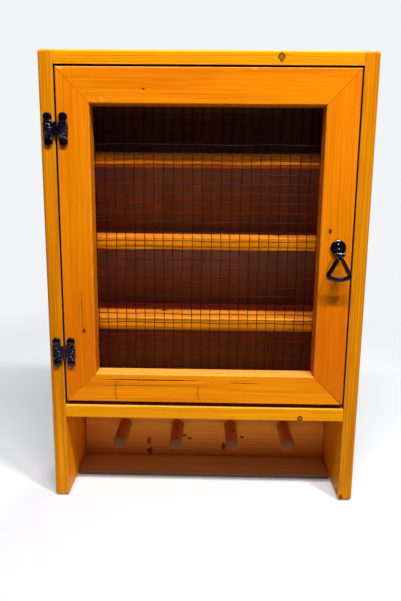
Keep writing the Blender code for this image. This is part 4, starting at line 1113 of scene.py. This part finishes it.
class CABINET_OT_magnetic_catch(bpy.types.Operator):
    """Magnetic catch on the case and its strike on the door"""

    bl_idname = "cabinet.magnetic_catch"
    bl_label = "Magnetic Catch"

    def execute(self, context):
        add_piece("catch_body_block", form_of("catch_body"), "case", "catch_plastic", "catch_body")
        for node in ("catch_screw_upper", "catch_screw_lower"):
            add_steel(node, "case")
        for node in ("catch_strike", "strike_screw"):
            add_steel(node, "door")
        return {"FINISHED"}


class CABINET_OT_hangers(bpy.types.Operator):
    """Keyhole hanger plates on the rear of the top board, with their screws"""

    bl_idname = "cabinet.hangers"
    bl_label = "Keyhole Hangers"

    def execute(self, context):
        for hand in ("hanger_left", "hanger_right"):
            for node in (hand, hand + "_screw_1", hand + "_screw_2"):
                add_steel(node, "case")
        return {"FINISHED"}


class CABINET_OT_brads(bpy.types.Operator):
    """Brads that hold the boards between the sides"""

    bl_idname = "cabinet.brads"
    bl_label = "Brads"

    def execute(self, context):
        sizes = context.scene.cabinet_sizes
        form = bmesh.new()
        for node in ("top_board", "floor_board", "shelf_upper", "shelf_middle", "shelf_lower", "peg_rail"):
            low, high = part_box(node)
            middle = (low + high) / 2
            reach = min(sizes.brad_inset, (high.y - low.y) / 2)
            spots = {(low.y + reach, middle.z), (high.y - reach, middle.z)}
            if node == "peg_rail":
                spots = {(middle.y, low.z + RAIL_BRAD_INSET), (middle.y, high.z - RAIL_BRAD_INSET)}
            for side, sign in (("left_side", -1.0), ("right_side", 1.0)):
                side_low, side_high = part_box(side)
                face = side_low.x if sign < 0 else side_high.x
                for y, level in sorted(spots):
                    self.drive_brad(form, Vector((face, y, level)), sign, sizes.brad_radius)
        add_piece("case_brads", form, "case", "zinc_steel")
        return {"FINISHED"}

    def drive_brad(self, form, spot, sign, radius):
        """One brad: a head with a softened rim and a shank into the board's end."""
        turn = Matrix.Rotation(math.radians(90.0) * sign, 4, "Y")
        inwards = Vector((-sign, 0.0, 0.0))
        seat = Matrix.Translation(spot + inwards * BRAD_SUNK) @ turn
        soften(form, edges_at(rod_in(form, 16, (radius, radius), BRAD_HEAD, seat)), BRAD_RIM)
        root = BRAD_SUNK + BRAD_HEAD / 2 + BRAD_SHANK / 2
        shank = Matrix.Translation(spot + inwards * root) @ turn
        rod_in(form, 10, (radius * SHANK_SHARE, radius * SHANK_SHARE), BRAD_SHANK, shank)


class CABINET_OT_stage(bpy.types.Operator):
    """Pale floor, soft lamps and the camera"""

    bl_idname = "cabinet.stage"
    bl_label = "Stage"

    def execute(self, context):
        scene = context.scene
        stage = scene.cabinet_stage
        scene.view_settings.view_transform = "Standard"
        self.set_camera(scene, stage)
        for name, lamp in LAMPS.items():
            self.set_lamp(scene, name + "_lamp", getattr(stage, name + "_watts"), *lamp)
        self.set_world(scene, stage)
        self.lay_floor(scene, stage)
        return {"FINISHED"}

    def outwards(self, azimuth, elevation):
        """A direction away from the cabinet's front, turned to the right and lifted."""
        level = math.cos(elevation)
        return Vector((math.sin(azimuth) * level, -math.cos(azimuth) * level, math.sin(elevation)))

    def set_camera(self, scene, stage):
        """The camera at the eye, turned by pitch, yaw and roll."""
        lens = bpy.data.cameras.new("camera")
        lens.sensor_fit = "VERTICAL"
        lens.sensor_height = SENSOR
        lens.lens = stage.focal_pixels / IMAGE_HEIGHT * SENSOR
        lens.shift_y = -stage.rise_pixels / IMAGE_HEIGHT
        lens.clip_start, lens.clip_end = CLIP
        forward = -self.outwards(-stage.yaw, stage.pitch)
        right = Vector((math.cos(stage.yaw), -math.sin(stage.yaw), 0.0))
        up = right.cross(forward)
        turned_right = math.cos(stage.roll) * right + math.sin(stage.roll) * up
        turned_up = math.cos(stage.roll) * up - math.sin(stage.roll) * right
        turn = Matrix((turned_right, turned_up, -forward)).transposed().to_4x4()
        camera = bpy.data.objects.new("camera", lens)
        scene.collection.objects.link(camera)
        camera.matrix_world = Matrix.Translation(stage.eye) @ turn
        scene.camera = camera

    def set_lamp(self, scene, name, watts, size, elevation_deg, azimuth_deg):
        """A flat lamp, as wide and high as said, that faces the cabinet from a distance."""
        lamp = bpy.data.lights.new(name, "AREA")
        lamp.energy = watts
        lamp.shape = "RECTANGLE"
        lamp.size, lamp.size_y = size
        away = self.outwards(math.radians(azimuth_deg), math.radians(elevation_deg))
        holder = bpy.data.objects.new(name, lamp)
        scene.collection.objects.link(holder)
        holder.location = LAMP_AIM + away * LAMP_REACH
        holder.rotation_euler = away.to_track_quat("Z", "Y").to_euler()

    def set_world(self, scene, stage):
        """A pale backdrop that gives only a little light."""
        world = bpy.data.worlds.new("pale_room")
        scene.world = world
        net = empty_net(world)
        toward = net.split(net.where("Generated"))
        seen = self.seen_directly(net, net.step(toward["Y"], *ROOM_ABOVE, stage.room, 1.0))
        strength = net.add("ShaderNodeMix", {0: seen, 2: stage.fill, 3: 1.0}, data_type="FLOAT").outputs[0]
        inputs = {"Color": net.mix(seen, stage.fill_tint, stage.backdrop), "Strength": strength}
        background = net.add("ShaderNodeBackground", inputs)
        net.add("ShaderNodeOutputWorld", {"Surface": background.outputs[0]})

    def seen_directly(self, net, pale):
        """1 for what the camera sees, and how pale it is for what shows in metal."""
        path = net.add("ShaderNodeLightPath").outputs
        mirrored = net.most(path["Is Glossy Ray"], path["Is Transmission Ray"])
        return net.most(path["Is Camera Ray"], net.times(mirrored, pale))

    def lay_floor(self, scene, stage):
        """A wide floor below the hanging cabinet."""
        form = bmesh.new()
        bmesh.ops.create_grid(form, x_segments=2, y_segments=2, size=FLOOR_HALF)
        bmesh.ops.translate(form, vec=(0.0, 0.0, CAD_BOX[0][2] - stage.drop), verts=form.verts)
        mesh = bpy.data.meshes.new("floor")
        form.to_mesh(mesh)
        form.free()
        material, net, shader = new_material("pale_floor")
        place = net.where("Object")
        mottle = net.noise(place, (2.0, 2.0, 2.0), 4.0)
        tint = net.mix(net.times(mottle, 0.12), stage.floor, stage.backdrop)
        away = net.vector("LENGTH", net.vector("MULTIPLY", place, (1.0, 1.0, 0.0)))
        unlit = net.step(away, *FLOOR_LIT)
        pale = net.step(net.split(place)["Y"], *ROOM_BELOW, stage.room, 1.0)
        net.feed(shader, {
            "Base Color": net.mix(unlit, tint, BLACK),
            "Roughness": 0.8,
            "Specular IOR Level": 0.0,
            "Emission Color": rgba(stage.backdrop),
            "Emission Strength": net.times(self.seen_directly(net, pale), net.ramp(unlit, 0.8, 0.2)),
        })
        mesh.materials.append(material)
        floor = bpy.data.objects.new("floor", mesh)
        scene.collection.objects.link(floor)


PIECE_OPERATORS = (
    CABINET_OT_case_boards,
    CABINET_OT_back_panel,
    CABINET_OT_pegs,
    CABINET_OT_door_frame,
    CABINET_OT_wire_mesh,
    CABINET_OT_hinges,
    CABINET_OT_drop_pull,
    CABINET_OT_magnetic_catch,
    CABINET_OT_hangers,
    CABINET_OT_brads,
    CABINET_OT_stage,
)


class CABINET_PT_sidebar(bpy.types.Panel):
    """Sizes, colours and pieces of the wall cabinet"""

    bl_idname = "CABINET_PT_sidebar"
    bl_label = "Wall Cabinet"
    bl_space_type = "VIEW_3D"
    bl_region_type = "UI"
    bl_category = "Cabinet"

    def draw(self, context):
        layout = self.layout
        scene = context.scene
        for group in (scene.cabinet_sizes, scene.cabinet_colours, scene.cabinet_stage):
            column = layout.column(align=True)
            for key in group.__annotations__:
                column.prop(group, key)
        for operator in PIECE_OPERATORS:
            layout.operator(operator.bl_idname)


CLASSES = (CabinetSizes, CabinetColours, CabinetStage, *PIECE_OPERATORS, CABINET_PT_sidebar)


def register():
    for each in CLASSES:
        bpy.utils.register_class(each)
    bpy.types.Scene.cabinet_sizes = bpy.props.PointerProperty(type=CabinetSizes)
    bpy.types.Scene.cabinet_colours = bpy.props.PointerProperty(type=CabinetColours)
    bpy.types.Scene.cabinet_stage = bpy.props.PointerProperty(type=CabinetStage)


def unregister():
    del bpy.types.Scene.cabinet_stage
    del bpy.types.Scene.cabinet_colours
    del bpy.types.Scene.cabinet_sizes
    for each in reversed(CLASSES):
        bpy.utils.unregister_class(each)


def main():
    register()
    make_finishes()
    bpy.ops.cabinet.case_boards()
    bpy.ops.cabinet.back_panel()
    bpy.ops.cabinet.pegs()
    bpy.ops.cabinet.door_frame()
    bpy.ops.cabinet.wire_mesh()
    bpy.ops.cabinet.hinges()
    bpy.ops.cabinet.drop_pull()
    bpy.ops.cabinet.magnetic_catch()
    bpy.ops.cabinet.hangers()
    bpy.ops.cabinet.brads()
    bpy.ops.cabinet.stage()


if __name__ == "__main__":
    main()
